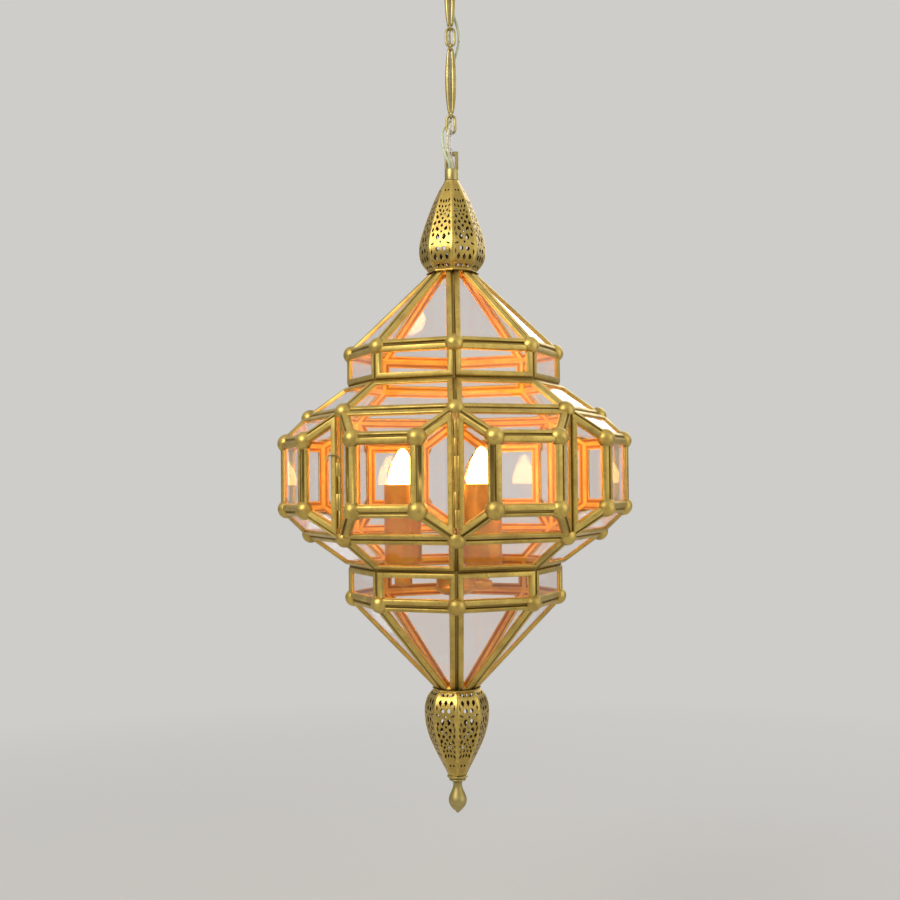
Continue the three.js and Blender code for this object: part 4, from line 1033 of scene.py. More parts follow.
@dataclass
class Border:
    """The beaded border of a pane: a channel along its mitre and a round bar beside the glass."""

    width: float = 7.4
    channel_share: float = 0.2
    channel_height: float = 1.0
    rise: float = 3.0
    back: float = 1.2
    held: float = 0.6
    valley_share: float = 0.62
    valley: float = 0.55
    round_off: float = 1.9
    back_from: float = 1.08
    valley_from: float = 0.275
    inner_rise: float = 1.2
    inner_inset: float = 6.29
    glass_span: Pair = (-0.48, 0.8)

    def build(self, pane: Pane, gaps: Sequence[float], widths: Sequence[float]) -> Work:
        """Builds one border.

        Args:
            pane: the pane that it goes round.
            gaps: how far each edge stays from its mitre.
            widths: the width of each edge.

        Returns:
            The border.
        """
        work = Work()
        face = work.bm.faces.new([work.bm.verts.new(pane.place(i, -self.back, gaps)) for i in range(4)])
        rings = []
        steps = ((self.channel_share, -self.back), (self.valley_share, -self.valley), (1.0, -self.back))
        for share, height in steps:
            made = bmesh.ops.inset_region(work.bm, faces=[face], thickness=1.0, use_boundary=True)
            insets = [gap + share * width for gap, width in zip(gaps, widths)]
            for vert in face.verts:
                vert.co = pane.place(pane.nearest(vert.co), height, insets)
            rings += made["faces"]
        bmesh.ops.delete(work.bm, geom=[face], context="FACES")
        both = self.raised(work, pane, rings, self.channel_height)
        bars = sorted(both, key=lambda f: pane.measure(f.calc_center_median())[1])[4:]
        top = self.raised(work, pane, bars, self.rise)
        crests = [
            edge for edge in work.bm.edges
            if self.runs_along(pane, edge) and sum(f in top for f in edge.link_faces) == 1
        ]
        work.bevel(crests, self.round_off, 4)
        return work.close().mark(lambda point: self.crown(pane, point))

    def crown(self, pane: Pane, point: Vector) -> float:
        """How far a point of the border stands out, and more than 1 where it faces the lights inside and takes
        their painted glow.

        Args:
            pane: the border's pane.
            point: the point.

        Returns:
            Its mark.
        """
        height, inset = pane.measure(point)
        if height < -self.back_from:
            return INNER_RIDGE
        if height < -self.valley_from:
            return INNER_VALLEY
        beside_glass = inset > self.inner_inset and height < self.inner_rise
        return INNER_EDGE if beside_glass else max(0.0, height) / self.rise

    def glass(self, pane: Pane, gaps: Sequence[float], widths: Sequence[float]) -> Work:
        """Builds the sheet of glass that a border holds, with its edges inside the bars.

        Args:
            pane: the pane that the glass fills.
            gaps: how far each edge of the border stays from its mitre.
            widths: the width of each edge.

        Returns:
            The sheet.
        """
        insets = [gap + self.held * width for gap, width in zip(gaps, widths)]
        low, high = self.glass_span
        return Work().prism([pane.place(i, low, insets) for i in range(4)], pane.normal * (high - low))

    def raised(self, work: Work, pane: Pane, faces: list, height: float) -> list:
        """Raises faces along the pane's mitres to a height, and gives the faces that end up on top.

        Args:
            work: the border.
            pane: its pane.
            faces: the faces.
            height: their new height above the pane.

        Returns:
            The faces on top.
        """
        made = bmesh.ops.extrude_face_region(work.bm, geom=faces)
        for vert in points_of(made):
            index = pane.nearest(vert.co)
            by = height - pane.measure(vert.co)[0]
            vert.co += pane.place(index, by, [0.0] * 4) - pane.corners[index]
        return [item for item in made["geom"] if isinstance(item, bmesh.types.BMFace)]

    def runs_along(self, pane: Pane, edge: bmesh.types.BMEdge) -> bool:
        """Whether an edge runs from one corner of the pane to another."""
        near, far = edge.verts
        return pane.nearest(near.co) != pane.nearest(far.co)


def solder_ball(corner: Vector, radius: float, sunk: float, planes: Sequence[Plane], heart: Vector) -> Work:
    """Builds a ball of solder that stops at the planes of the panes under it.

    Args:
        corner: the corner that it covers.
        radius: its radius.
        sunk: how far its middle lies inside the corner.
        planes: the planes that hide the rest of it.
        heart: the point where the planes meet.

    Returns:
        The ball.
    """
    work = Work()
    outward = (corner - heart).normalized()
    centre = corner - outward * sunk
    around, up = BALL_STEPS
    bmesh.ops.create_uvsphere(
        work.bm, u_segments=around, v_segments=up, radius=radius, matrix=Matrix.Translation(centre)
    )
    work.cut(planes)
    inside = [
        face for face in work.bm.faces
        if all((face.calc_center_median() - point).dot(normal) < 0 for point, normal in planes)
    ]
    bmesh.ops.delete(work.bm, geom=inside, context="FACES")
    rim = [edge for edge in work.bm.edges if edge.is_boundary]
    made = bmesh.ops.extrude_edge_only(work.bm, edges=rim)
    bmesh.ops.pointmerge(work.bm, verts=points_of(made), merge_co=heart)
    least, most = BALL_CROWN
    gain = (most - least) / radius
    return work.close().mark(lambda point: least + gain * max(0.0, (point - centre).dot(outward)))


def tier_normal(low: Pair, high: Pair) -> Vector:
    """Outward normal of the front pane between two rings."""
    run = (high[0] - low[0]) * math.cos(HALF_SECTOR)
    return Vector((0, -(high[1] - low[1]), -run)).normalized()


@dataclass
class Tier:
    """A ring of eight borders between two octagons, with solder balls at the corners of one of them."""

    name: str
    low: Pair
    high: Pair
    normal_below: Vector | None
    normal_above: Vector | None
    tip_edge: int | None = None
    tip_width: float = 9.0
    border: Border = field(default_factory=Border)

    def __post_init__(self) -> None:
        """Works out the tier's front pane."""
        (foot, low), (top, high) = self.low, self.high
        corners = [
            on_ring(foot, -HALF_SECTOR, low), on_ring(foot, HALF_SECTOR, low),
            on_ring(top, HALF_SECTOR, high), on_ring(top, -HALF_SECTOR, high),
        ]
        own = tier_normal(self.low, self.high)
        right, left = turn(2 * HALF_SECTOR) @ own, turn(-2 * HALF_SECTOR) @ own
        self.pane = Pane(corners, [self.normal_below, right, self.normal_above, left])

    def planes(self, depth: float) -> list[Plane]:
        """The planes behind the two panes that meet at the front pane's right-hand spine.

        Args:
            depth: how far behind they lie.

        Returns:
            The two planes.
        """
        point, normal = self.pane.behind(depth)
        swing = turn(2 * HALF_SECTOR)
        return [(point, normal), (swing @ point, swing @ normal)]

    def build(self, finishes: Finishes, balls: Work | None) -> None:
        """Builds the tier's ring of borders and its glass.

        Args:
            finishes: the lantern's finishes.
            balls: the tier's solder balls, if it carries any.
        """
        widths = [self.tip_width if edge == self.tip_edge else self.border.width for edge in range(4)]
        gaps = [FIT_GAP, 0, FIT_GAP, 0]
        work = self.border.build(self.pane, gaps, widths).repeat()
        if balls:
            work.absorb(balls.repeat())
        work.move(turn(HALF_SECTOR)).finish(f"{self.name}_borders", finishes.beaded, f"{self.name}_frame")
        sheets = self.border.glass(self.pane, gaps, widths).repeat().move(turn(HALF_SECTOR))
        sheets.finish(f"{self.name}_panes", finishes.pane, f"{self.name}_glass")


@dataclass
class GlazedBody:
    """The six tiers, their glass and their solder balls."""

    finishes: Finishes
    ball_radius: float = 9.7
    ball_sunk: float = 3.7

    def build(self, bay: "Bay") -> None:
        """Builds all six tiers.

        Args:
            bay: the bays that stand between the two slopes.
        """
        cone = tier_normal(UPPER_OUTER, CONE_TOP)
        band = tier_normal(UPPER_INNER, UPPER_OUTER)
        slope = tier_normal(UPPER_SHOULDER, UPPER_INNER)
        low_slope = tier_normal(LOWER_INNER, LOWER_SHOULDER)
        low_cone = tier_normal(CONE_BOTTOM, LOWER_OUTER)
        upper_cone = Tier("upper_cone", UPPER_OUTER, CONE_TOP, band, None, tip_edge=2)
        upper_band = Tier("upper_band", UPPER_INNER, UPPER_OUTER, slope, cone)
        upper_slope = Tier("upper_slope", UPPER_SHOULDER, UPPER_INNER, bay.panes["top"].normal, band)
        lower_slope = Tier("lower_slope", LOWER_INNER, LOWER_SHOULDER, band, bay.panes["bottom"].normal)
        lower_band = Tier("lower_band", LOWER_OUTER, LOWER_INNER, low_cone, low_slope)
        lower_cone = Tier("lower_cone", CONE_BOTTOM, LOWER_OUTER, None, band, tip_edge=0)
        upper_cone.build(self.finishes, self.balls(UPPER_OUTER, upper_cone, upper_band))
        upper_band.build(self.finishes, None)
        upper_slope.build(self.finishes, self.balls(UPPER_SHOULDER, upper_slope))
        lower_slope.build(self.finishes, self.balls(LOWER_SHOULDER, lower_slope))
        lower_band.build(self.finishes, None)
        lower_cone.build(self.finishes, self.balls(LOWER_OUTER, lower_cone, lower_band))

    def balls(self, ring: Pair, *tiers: Tier) -> Work:
        """One solder ball on a ring's right-hand spine, cut back to the panes of its tiers.

        Args:
            ring: the ring's radius and height.
            tiers: the tiers that meet there.

        Returns:
            The ball.
        """
        centre = on_ring(ring[0], HALF_SECTOR, ring[1])
        planes = [plane for tier in tiers for plane in tier.planes(BALL_DEPTH)]
        heart = meeting(planes[:3]) if len(planes) > 2 else meeting([*planes, (centre, UP)])
        return solder_ball(centre, self.ball_radius, self.ball_sunk, planes, heart)


def meeting(planes: Sequence[Plane]) -> Vector:
    """The point where three planes meet."""
    rows = Matrix([normal for _, normal in planes])
    return rows.inverted() @ Vector([normal.dot(point) for point, normal in planes])


@dataclass
class Bay:
    """The bays round the waist, each of five bordered panes, and the knuckles that three of them carry."""

    finishes: Finishes
    front_width: float = 72.4
    front_height: float = 73.6
    projection: float = 34.1
    ball_radius: float = 10.2
    ball_sunk: float = 4.7
    knuckle_radius: float = 2.4
    knuckle_bore: float = 1.4
    knuckle_outset: float = 2.0
    knuckle_slot: float = 2.9
    knuckle_border: float = 6.0
    leaf_length: float = 3.2
    leaf_thickness: float = 1.6
    hinge_spans: tuple[Pair, ...] = (
        (52.65, 35.05), (34.75, 17.65), (17.35, -17.35), (-17.65, -34.75), (-35.05, -52.65),
    )
    latch_spans: tuple[Pair, ...] = ((12.85, -1.05), (-1.35, -18.45), (-18.75, -35.65), (-35.95, -52.85))
    border: Border = field(default_factory=Border)

    def __post_init__(self) -> None:
        """Works out the five panes, with what lies across each of their edges."""
        radius, height = UPPER_SHOULDER
        front = radius * math.cos(HALF_SECTOR) + self.projection
        across, up = self.front_width / 2, self.front_height / 2
        ways = ((-1, -1), (1, -1), (1, 1), (-1, 1))
        self.noses = [Vector((side * across, -front, end * up)) for side, end in ways]
        n, s = self.noses, [on_ring(radius, side * HALF_SECTOR, end * height) for side, end in ways]
        quads = {
            "front": n,
            "right": [n[1], s[1], s[2], n[2]],
            "left": [s[0], n[0], n[3], s[3]],
            "top": [n[3], n[2], s[2], s[3]],
            "bottom": [s[0], s[1], n[1], n[0]],
        }
        f, r, l, t, b = (Pane(quad).normal for quad in quads.values())
        next_right, next_left = (
            turn(sign * 2 * HALF_SECTOR) @ Vector((-own.x, own.y, own.z)) for own, sign in ((r, 1), (l, -1))
        )
        upper = tier_normal(UPPER_SHOULDER, UPPER_INNER)
        lower = tier_normal(LOWER_INNER, LOWER_SHOULDER)
        beyond = {
            "front": [b, r, t, l],
            "right": [b, next_right, t, f],
            "left": [b, f, t, next_left],
            "top": [f, r, upper, l],
            "bottom": [lower, r, f, l],
        }
        self.panes = {name: Pane(quad, beyond[name]) for name, quad in quads.items()}

    def build(self) -> None:
        """Builds the seven fixed bays and the door."""
        body_hinge, door_hinge = self.hinge_spans[::2], self.hinge_spans[1::2]
        body_latch, door_latch = self.latch_spans[::2], self.latch_spans[1::2]
        for k in range(BAYS):
            left = body_hinge if k == 0 else ()
            right = body_latch if k == BAYS - 1 else ()
            self.one(f"bay_{k + 1}", k, left, right, Body.LANTERN)
        self.one("door", BAYS, door_latch, door_hinge, Body.DOOR)

    def one(self, name: str, place: int, left: Sequence, right: Sequence, body: Body) -> None:
        """Builds one bay.

        Args:
            name: the bay's name.
            place: its number round the lantern.
            left: the knuckles' heights on its left spine.
            right: the knuckles' heights on its right spine.
            body: what it rides on.
        """
        slot_way = Vector((math.cos(HALF_SECTOR), math.sin(HALF_SECTOR), 0))
        slot = self.knuckle_slot / abs(self.panes["right"].inwards[1].dot(slot_way))
        wide, slim = self.border.width, self.knuckle_border
        plan = {
            "front": ([0, 0, 0, 0], [wide] * 4),
            "right": ([0, slot if right else FIT_GAP, 0, 0], [wide, slim if right else wide, wide, wide]),
            "left": ([0, 0, 0, slot if left else FIT_GAP], [wide, wide, wide, slim if left else wide]),
            "top": ([0, 0, FIT_GAP, 0], [wide] * 4),
            "bottom": ([FIT_GAP, 0, 0, 0], [wide] * 4),
        }
        work, sheets = Work(), Work()
        for face, (gaps, widths) in plan.items():
            work.absorb(self.border.build(self.panes[face], gaps, widths))
            sheets.absorb(self.border.glass(self.panes[face], gaps, widths))
        for i, nose in enumerate(self.noses):
            side = "right" if i in (1, 2) else "left"
            end = "top" if i > 1 else "bottom"
            planes = [self.panes[face].behind(BALL_DEPTH) for face in ("front", side, end)]
            work.absorb(solder_ball(nose, self.ball_radius, self.ball_sunk, planes, meeting(planes)))
        for sign, spans in ((1, right), (-1, left)):
            for high, low in spans:
                work.absorb(self.knuckle(sign, high, low))
        swing = turn(HALF_SECTOR * (2 * place + 1))
        work.move(swing).finish(f"{name}_borders", self.finishes.beaded, f"{name}_frame", body)
        sheets.move(swing).finish(f"{name}_panes", self.finishes.pane, f"{name}_glass", body)

    def knuckle(self, side: int, high: float, low: float) -> Work:
        """One knuckle with the leaf that solders it to the bay's side border.

        Args:
            side: 1 for the right spine and -1 for the left one.
            high: the height of its upper end.
            low: the height of its lower end.

        Returns:
            The knuckle.
        """
        inward = self.panes["right"].inwards[1] if side > 0 else self.panes["left"].inwards[3]
        axis = on_ring(UPPER_SHOULDER[0] + self.knuckle_outset, side * HALF_SECTOR, 0)
        bore, radius = self.knuckle_bore, self.knuckle_radius
        profile = [(bore, low), (radius, low), (radius, high), (bore, high)]
        barrel = Work().revolve(profile, 20, closed=True).soften(0.35)
        leaf = Work().block((self.leaf_length, self.leaf_thickness, high - low), 0.3)
        axes = Matrix((inward, UP.cross(inward).normalized(), UP)).transposed().to_4x4()
        start = (radius + bore + self.leaf_length) / 2
        leaf.move(axes, Matrix.Translation(axis + inward * start + UP * ((high + low) / 2)))
        return Work().absorb(barrel, Matrix.Translation(axis)).absorb(leaf).mark(KNUCKLE_CROWN)


@dataclass
class Pins:
    """The hinge pin, and the loose latch pin with its curled handle."""

    finishes: Finishes
    radius: float = 1.1
    hinge_radius: float = 1.25
    hinge_outset: float = 164.0
    hinge_half: float = 52.8
    latch_route: tuple[Point, ...] = (
        (0, 2, -53.4), (0, 2, 5), (0, 2, 13.6), (0.2, 3.2, 17.5), (2, 6.5, 20.5), (5, 9.2, 21), (8, 11, 19.6),
        (9, 11.8, 16.8), (7.6, 11.2, 14.6),
    )

    def build(self) -> None:
        """Builds both pins."""
        half, tip = self.hinge_half, self.hinge_radius
        end = [(tip, half - 0.5), (tip * 0.7, half), (0, half)]
        profile = [*reversed(end), *((radius, -height) for radius, height in end)]
        pin = Work().revolve(profile, 20).move(Matrix.Translation((0, -self.hinge_outset, 0)))
        pin.finish("hinge_pin_rod", self.finishes.polished, "hinge_pin")
        spine = on_ring(UPPER_SHOULDER[0], -2 * HALF_SECTOR, 0)
        out = on_ring(1, -2 * HALF_SECTOR, 0)
        left = Vector((-math.cos(2 * HALF_SECTOR), math.sin(2 * HALF_SECTOR), 0))
        knots = [spine + left * a + out * b + UP * z for a, b, z in self.latch_route]
        route = [TO_PLACE @ point for point in smooth_route(knots, 1.0)]
        mesh = tube("latch_pin_rod", route, self.radius / 1000)
        settle("latch_pin_rod", mesh, self.finishes.polished, "latch_pin", Body.LATCH_PIN)


# Pierced caps

HOLE_GROWTH = 1.14
HOLE_SIDES = 10


class Hole(Enum):
    """Shapes that are cut through the caps, as the share by which each end is drawn out to a point."""

    ROUND = (0.0, 0.0)
    DROP = (0.55, 0.0)
    LEAF = (0.45, 0.45)


@dataclass(frozen=True)
class Piercing:
    """One hole of a cap's panel: where it stands, its size and its slant."""

    shape: Hole
    up: float
    across: float
    width: float
    length: float
    slant: float = 0.0

    def outline(self, half_width: float, height: float, shrink: float, spread: float) -> Work:
        """Draws the hole flat, as a ring of edges.

        Args:
            half_width: half the sheet's width.
            height: how far up the sheet the hole stands.
            shrink: the hole's size, as a share of its size on the widest part.
            spread: how much wider the flat sheet is than the finished panel.

        Returns:
            The ring.
        """
        ring = Work()
        bmesh.ops.create_circle(ring.bm, segments=HOLE_SIDES, radius=1.0)
        for vert in ring.bm.verts:
            top, foot = self.shape.value
            end = top if vert.co.y > 0.95 else foot if vert.co.y < -0.95 else 0.0
            vert.co.y *= 1.0 + end
        across, along = (size * HOLE_GROWTH * shrink / 2 for size in (self.width, self.length))
        place = Matrix.Translation((self.across * half_width, height, 0)) @ Matrix.Diagonal((spread, 1, 1, 1))
        slant = Matrix.Rotation(math.radians(self.slant), 4, "Z")
        return ring.move(Matrix.Diagonal((across, along, 1, 1)), slant, place)


def mirrored(*rows: tuple) -> list[Piercing]:
    """Holes from rows of their values, with a mirror image of each that stands off the panel's middle.

    Args:
        rows: the values of each hole.

    Returns:
        The holes.
    """
    holes = [Piercing(*row) for row in rows]
    twins = [replace(hole, across=-hole.across, slant=-hole.slant) for hole in holes if hole.across]
    return [*holes, *twins]


PANEL = mirrored(
    (Hole.LEAF, 0.068, 0.5, 2.4, 5.0, 58), (Hole.ROUND, 0.07, 0.0, 2.8, 3.0), (Hole.DROP, 0.15, 0.0, 3.4, 4.8),
    (Hole.DROP, 0.153, 0.5, 3.4, 5.0, 8), (Hole.LEAF, 0.205, 0.76, 1.6, 4.4, 5),
    (Hole.ROUND, 0.235, 0.26, 3.9, 4.4), (Hole.LEAF, 0.285, 0.65, 1.9, 4.0, 68),
    (Hole.ROUND, 0.3, 0.0, 2.3, 2.3), (Hole.DROP, 0.35, 0.27, 4.0, 5.6), (Hole.DROP, 0.375, 0.68, 2.6, 3.4),
    (Hole.ROUND, 0.405, 0.0, 2.5, 2.6), (Hole.LEAF, 0.43, 0.77, 1.7, 4.8, 6),
    (Hole.DROP, 0.435, 0.38, 3.3, 4.6, -22), (Hole.DROP, 0.47, 0.0, 2.6, 3.4),
    (Hole.DROP, 0.5, 0.72, 2.8, 4.0, 8), (Hole.ROUND, 0.513, 0.3, 3.0, 3.4), (Hole.ROUND, 0.55, 0.0, 2.6, 3.0),
    (Hole.DROP, 0.568, 0.58, 2.8, 4.0, -20), (Hole.ROUND, 0.593, 0.24, 2.4, 2.8),
    (Hole.ROUND, 0.622, 0.72, 2.0, 2.6), (Hole.LEAF, 0.632, 0.0, 2.0, 2.8),
    (Hole.LEAF, 0.64, 0.42, 2.2, 3.4, -30), (Hole.LEAF, 0.682, 0.2, 2.2, 3.2, -14),
    (Hole.LEAF, 0.69, 0.64, 2.2, 3.6, -24), (Hole.LEAF, 0.742, 0.18, 2.4, 4.6, -8),
    (Hole.LEAF, 0.752, 0.6, 2.6, 5.6, -20), (Hole.ROUND, 0.872, 0.3, 3.4, 4.6, -20),
)


def off_middle(point: Vector) -> float:
    """How far round a point lies from the middle of its panel, from -1 at one fold to 1 at the other."""
    return (math.atan2(point.x, -point.y) / HALF_SECTOR + 1) % 2 - 1


@dataclass
class PiercedCap:
    """An eight-sided onion of pierced sheet, with a small lip turned out at its wide end."""

    name: str
    node: str
    knots: list[Pair]
    rim_height: float
    upside_down: bool = False
    wall: float = 1.15
    sheet: float = 14.0
    widest: float = 11.5
    fold: float = 0.09
    fold_depth: float = 0.2
    fold_from: float = 0.8
    fold_crown: float = 0.9
    panel_crown: float = 0.5

    def __post_init__(self) -> None:
        """Works out the corner's outline, and how far along a panel each of its points lies."""
        line = curve_points([(height, radius) for radius, height in self.knots])
        self.profile = [(radius, height) for height, radius in line]
        self.lengths = [0.0]
        for (near, low), (far, high) in zip(self.profile, self.profile[1:]):
            step = math.hypot((far - near) * math.cos(HALF_SECTOR), high - low)
            self.lengths.append(self.lengths[-1] + step)

    def build(self, finishes: Finishes) -> None:
        """Builds the cap: one flat pierced panel, bent, repeated and given its thickness, with its inner face
        in painted shade.

        Args:
            finishes: the lantern's finishes.
        """
        work = self.panel()
        for vert in work.bm.verts:
            vert.co = self.bent(vert.co)
        work.repeat().close().mark(self.crown)
        made = bmesh.ops.extrude_face_region(work.bm, geom=list(work.bm.faces), use_keep_orig=True)
        for vert in points_of(made):
            across = math.cos(off_middle(vert.co) * HALF_SECTOR)
            share = 1 - self.wall / (math.hypot(vert.co.x, vert.co.y) * across)
            vert.co = (vert.co.x * share, vert.co.y * share, vert.co.z)
            # The inner face is marked 0, so it takes the darkest colour: painted shade inside the cap
            vert[work.crown] = 0.0
        if self.upside_down:
            work.move(Matrix.Rotation(math.pi, 4, "X"))
        work.move(turn(HALF_SECTOR), Matrix.Translation((0, 0, self.rim_height)))
        bmesh.ops.recalc_face_normals(work.bm, faces=work.bm.faces)
        work.finish(self.name, finishes.pierced, self.node, sharp=30.0)

    def panel(self) -> Work:
        """Lays out one panel flat and evenly wide, with its holes and the cuts that it bends at.

        Returns:
            The panel.
        """
        work = Work()
        total = self.lengths[-1]
        bmesh.ops.create_grid(work.bm, x_segments=1, y_segments=1, size=1.0)
        work.move(Matrix.Diagonal((self.sheet, total / 2, 1, 1)), Matrix.Translation((0, total / 2, 0)))
        bmesh.ops.delete(work.bm, geom=list(work.bm.faces), context="FACES_ONLY")
        for hole in PANEL:
            half = self.station(hole.up * total)[0] * math.sin(HALF_SECTOR)
            shrink, spread = min(1.0, half / self.widest), self.sheet / half
            work.absorb(hole.outline(self.sheet, hole.up * total, shrink, spread))
        bmesh.ops.triangle_fill(work.bm, use_beauty=True, edges=list(work.bm.edges), normal=UP)
        cuts = [(Vector((0, length, 0)), Vector((0, 1, 0))) for length in self.lengths[1:-1]]
        for share in (1 - self.fold, 1 - self.fold / 2):
            cuts += [(Vector((side * share * self.sheet, 0, 0)), Vector((1, 0, 0))) for side in (-1, 1)]
        return work.cut(cuts)

    def crown(self, point: Vector) -> float:
        """How far a point stands out: most at the folds, and less between them."""
        return self.fold_crown if abs(off_middle(point)) > self.fold_from else self.panel_crown

    def station(self, at: float) -> Pair:
        """The corner radius and height at a length up from the rim.

        Args:
            at: the length.

        Returns:
            The radius and height.
        """
        i = max(k for k in range(len(self.lengths) - 1) if self.lengths[k] <= at + 1e-6)
        share = (at - self.lengths[i]) / (self.lengths[i + 1] - self.lengths[i])
        (near, low), (far, high) = self.profile[i], self.profile[i + 1]
        return near + (far - near) * share, low + (high - low) * share

    def bent(self, flat: Vector) -> Vector:
        """Where a point of the flat panel ends up, with the folds between panels rounded.

        Args:
            flat: the point on the flat panel.

        Returns:
            Its place on the cap.
        """
        radius, height = self.station(min(max(flat.y, 0.0), self.lengths[-1]))
        across = flat.x / self.sheet
        round_off = max(0.0, (abs(across) - 1 + self.fold) / self.fold)
        radius *= 1 - self.fold_depth * self.fold * math.sin(HALF_SECTOR) * round_off**2
        return Vector((across * radius * math.sin(HALF_SECTOR), -radius * math.cos(HALF_SECTOR), height))


TOP_CAP = PiercedCap(
    "top_cap_pierced", "top_cap",
    [
        (29.9, 0.3), (28.6, 0.9), (27.6, 2.0), (28.2, 3.8), (30.6, 6.6), (34.3, 12.0), (36.5, 18.7),
        (37.1, 28.2), (35.2, 38.9), (31.0, 52.3), (26.3, 65.6), (21.0, 79.0), (14.6, 92.3), (9.6, 100.6),
        (8.2, 103.6),
    ],
    221.318,
)
BOTTOM_CAP = PiercedCap(
    "bottom_cap_pierced", "bottom_cap",
    [
        (27.4, 0.3), (26.2, 0.9), (25.9, 1.9), (27.6, 3.6), (32.0, 9.6), (34.6, 17.5), (35.5, 24.4),
        (35.1, 33.5), (33.8, 42.5), (29.9, 55.7), (23.9, 68.8), (17.2, 82.0), (12.3, 91.2), (10.7, 95.0),
    ],
    -231.623, upside_down=True,
)


# Hanging gear

LOOP_SIDES = 14
LOOP_STEPS = 36


def loop(wire: float, half_width: float, pitch: float, middle: float, across_x: bool = False) -> Work:
    """Builds a closed loop of round wire with two straight sides.

    Args:
        wire: the wire's radius.
        half_width: from the loop's middle line to the wire's centre.
        pitch: the loop's height between the centres of its bends.
        middle: the height of its middle.
        across_x: whether it stands in the XZ plane rather than the YZ plane.

    Returns:
        The loop.
    """
    work = Work()
    centre, upright = (half_width, 0, 0), Matrix.Rotation(math.pi / 2, 4, "X")
    made = bmesh.ops.create_circle(work.bm, segments=LOOP_SIDES, radius=wire, matrix=Matrix.Translation(centre))
    bmesh.ops.rotate(work.bm, verts=made["verts"], cent=centre, matrix=upright.to_3x3())
    bmesh.ops.spin(
        work.bm, geom=[*work.bm.verts, *work.bm.edges], cent=(0, 0, 0), axis=UP, angle=2 * math.pi,
        steps=LOOP_STEPS, use_merge=True,
    )
    work.close().move(turn(math.pi / LOOP_STEPS), upright)
    straight = pitch / 2 - half_width
    for vert in work.bm.verts:
        vert.co.z += math.copysign(straight, vert.co.z)
    if not across_x:
        work.move(turn(math.pi / 2))
    return work.move(Matrix.Translation((0, 0, middle)))


@dataclass
class Chain:
    """Rings, spindle links with upright eyes, and the thin steel shackle."""

    finishes: Finishes
    ring_lows: tuple[float, ...] = (573.618, 475.918, 378.218)
    ring_pitch: float = 19.6
    ring_radius: float = 4.5
    wire: float = 1.5
    eye_wire: float = 1.2
    eye_radius: float = 3.9
    eye_seat: float = 3.0
    shackle_low: float = 350.618
    shackle_pitch: float = 30.5
    shackle_wire: float = 1.1
    shackle_radius: float = 4.0
    spindle_reach: float = 3.4
    spindle_radius: float = 1.5
    spindle_swell: float = 1.5
    spindle_outset: float = 1.65
    spindle_fullness: float = 0.7
    spindle_steps: int = 24

    def build(self) -> None:
        """Builds the chain from its top ring down."""
        for low, body in zip(self.ring_lows, (Body.TOP_RING, Body.MIDDLE_RING, Body.LOW_RING)):
            ring = loop(self.wire, self.ring_radius, self.ring_pitch, low + self.ring_pitch / 2, True)
            ring.finish(f"{body.value}_wire", self.finishes.polished, body.value, body)
        top, middle, low = self.ring_lows
        self.link(middle + self.ring_pitch, top, Body.UPPER_LINK)
        self.link(low + self.ring_pitch, middle, Body.LOWER_LINK)
        centre = self.shackle_low + self.shackle_pitch / 2
        shackle = loop(self.shackle_wire, self.shackle_radius, self.shackle_pitch, centre)
        shackle.finish("shackle_link_wire", self.finishes.steel, "shackle_link", Body.SHACKLE)

    def link(self, low: float, high: float, body: Body) -> None:
        """Builds one long link between two rings.

        Args:
            low: the top of the ring below it.
            high: the foot of the ring above it.
            body: what it rides on.
        """
        foot, top = low + self.spindle_reach, high - self.spindle_reach
        work = Work()
        for side in (-1, 1):
            rod = Work()
            shares = [i / self.spindle_steps for i in range(self.spindle_steps + 1)]
            swollen = [
                (self.spindle_radius + self.spindle_swell * self.swell(share), foot + share * (top - foot))
                for share in shares
            ]
            rod.revolve([(0, foot - 0.6), *swollen, (0, top + 0.6)], 16)
            for vert in rod.bm.verts:
                share = min(1.0, max(0.0, (vert.co.z - foot) / (top - foot)))
                vert.co.x += side * (self.spindle_outset + self.spindle_swell * self.swell(share))
            work.absorb(rod)
        for centre in (low - self.eye_seat + self.eye_radius, high + self.eye_seat - self.eye_radius):
            work.absorb(loop(self.eye_wire, self.eye_radius, 2 * self.eye_radius, centre))
        for height in (foot + 0.4, top - 0.4):
            collar = Work().revolve([(0, -0.9), (3.0, -0.9), (3.3, 0), (3.0, 0.9), (0, 0.9)], 18, base=height)
            work.absorb(collar.soften(0.3))
        work.finish(f"{body.value}_spindles", self.finishes.polished, body.value, body)

    def swell(self, share: float) -> float:
        """How full a spindle is at a share of its length."""
        return math.sin(math.pi * share) ** self.spindle_fullness


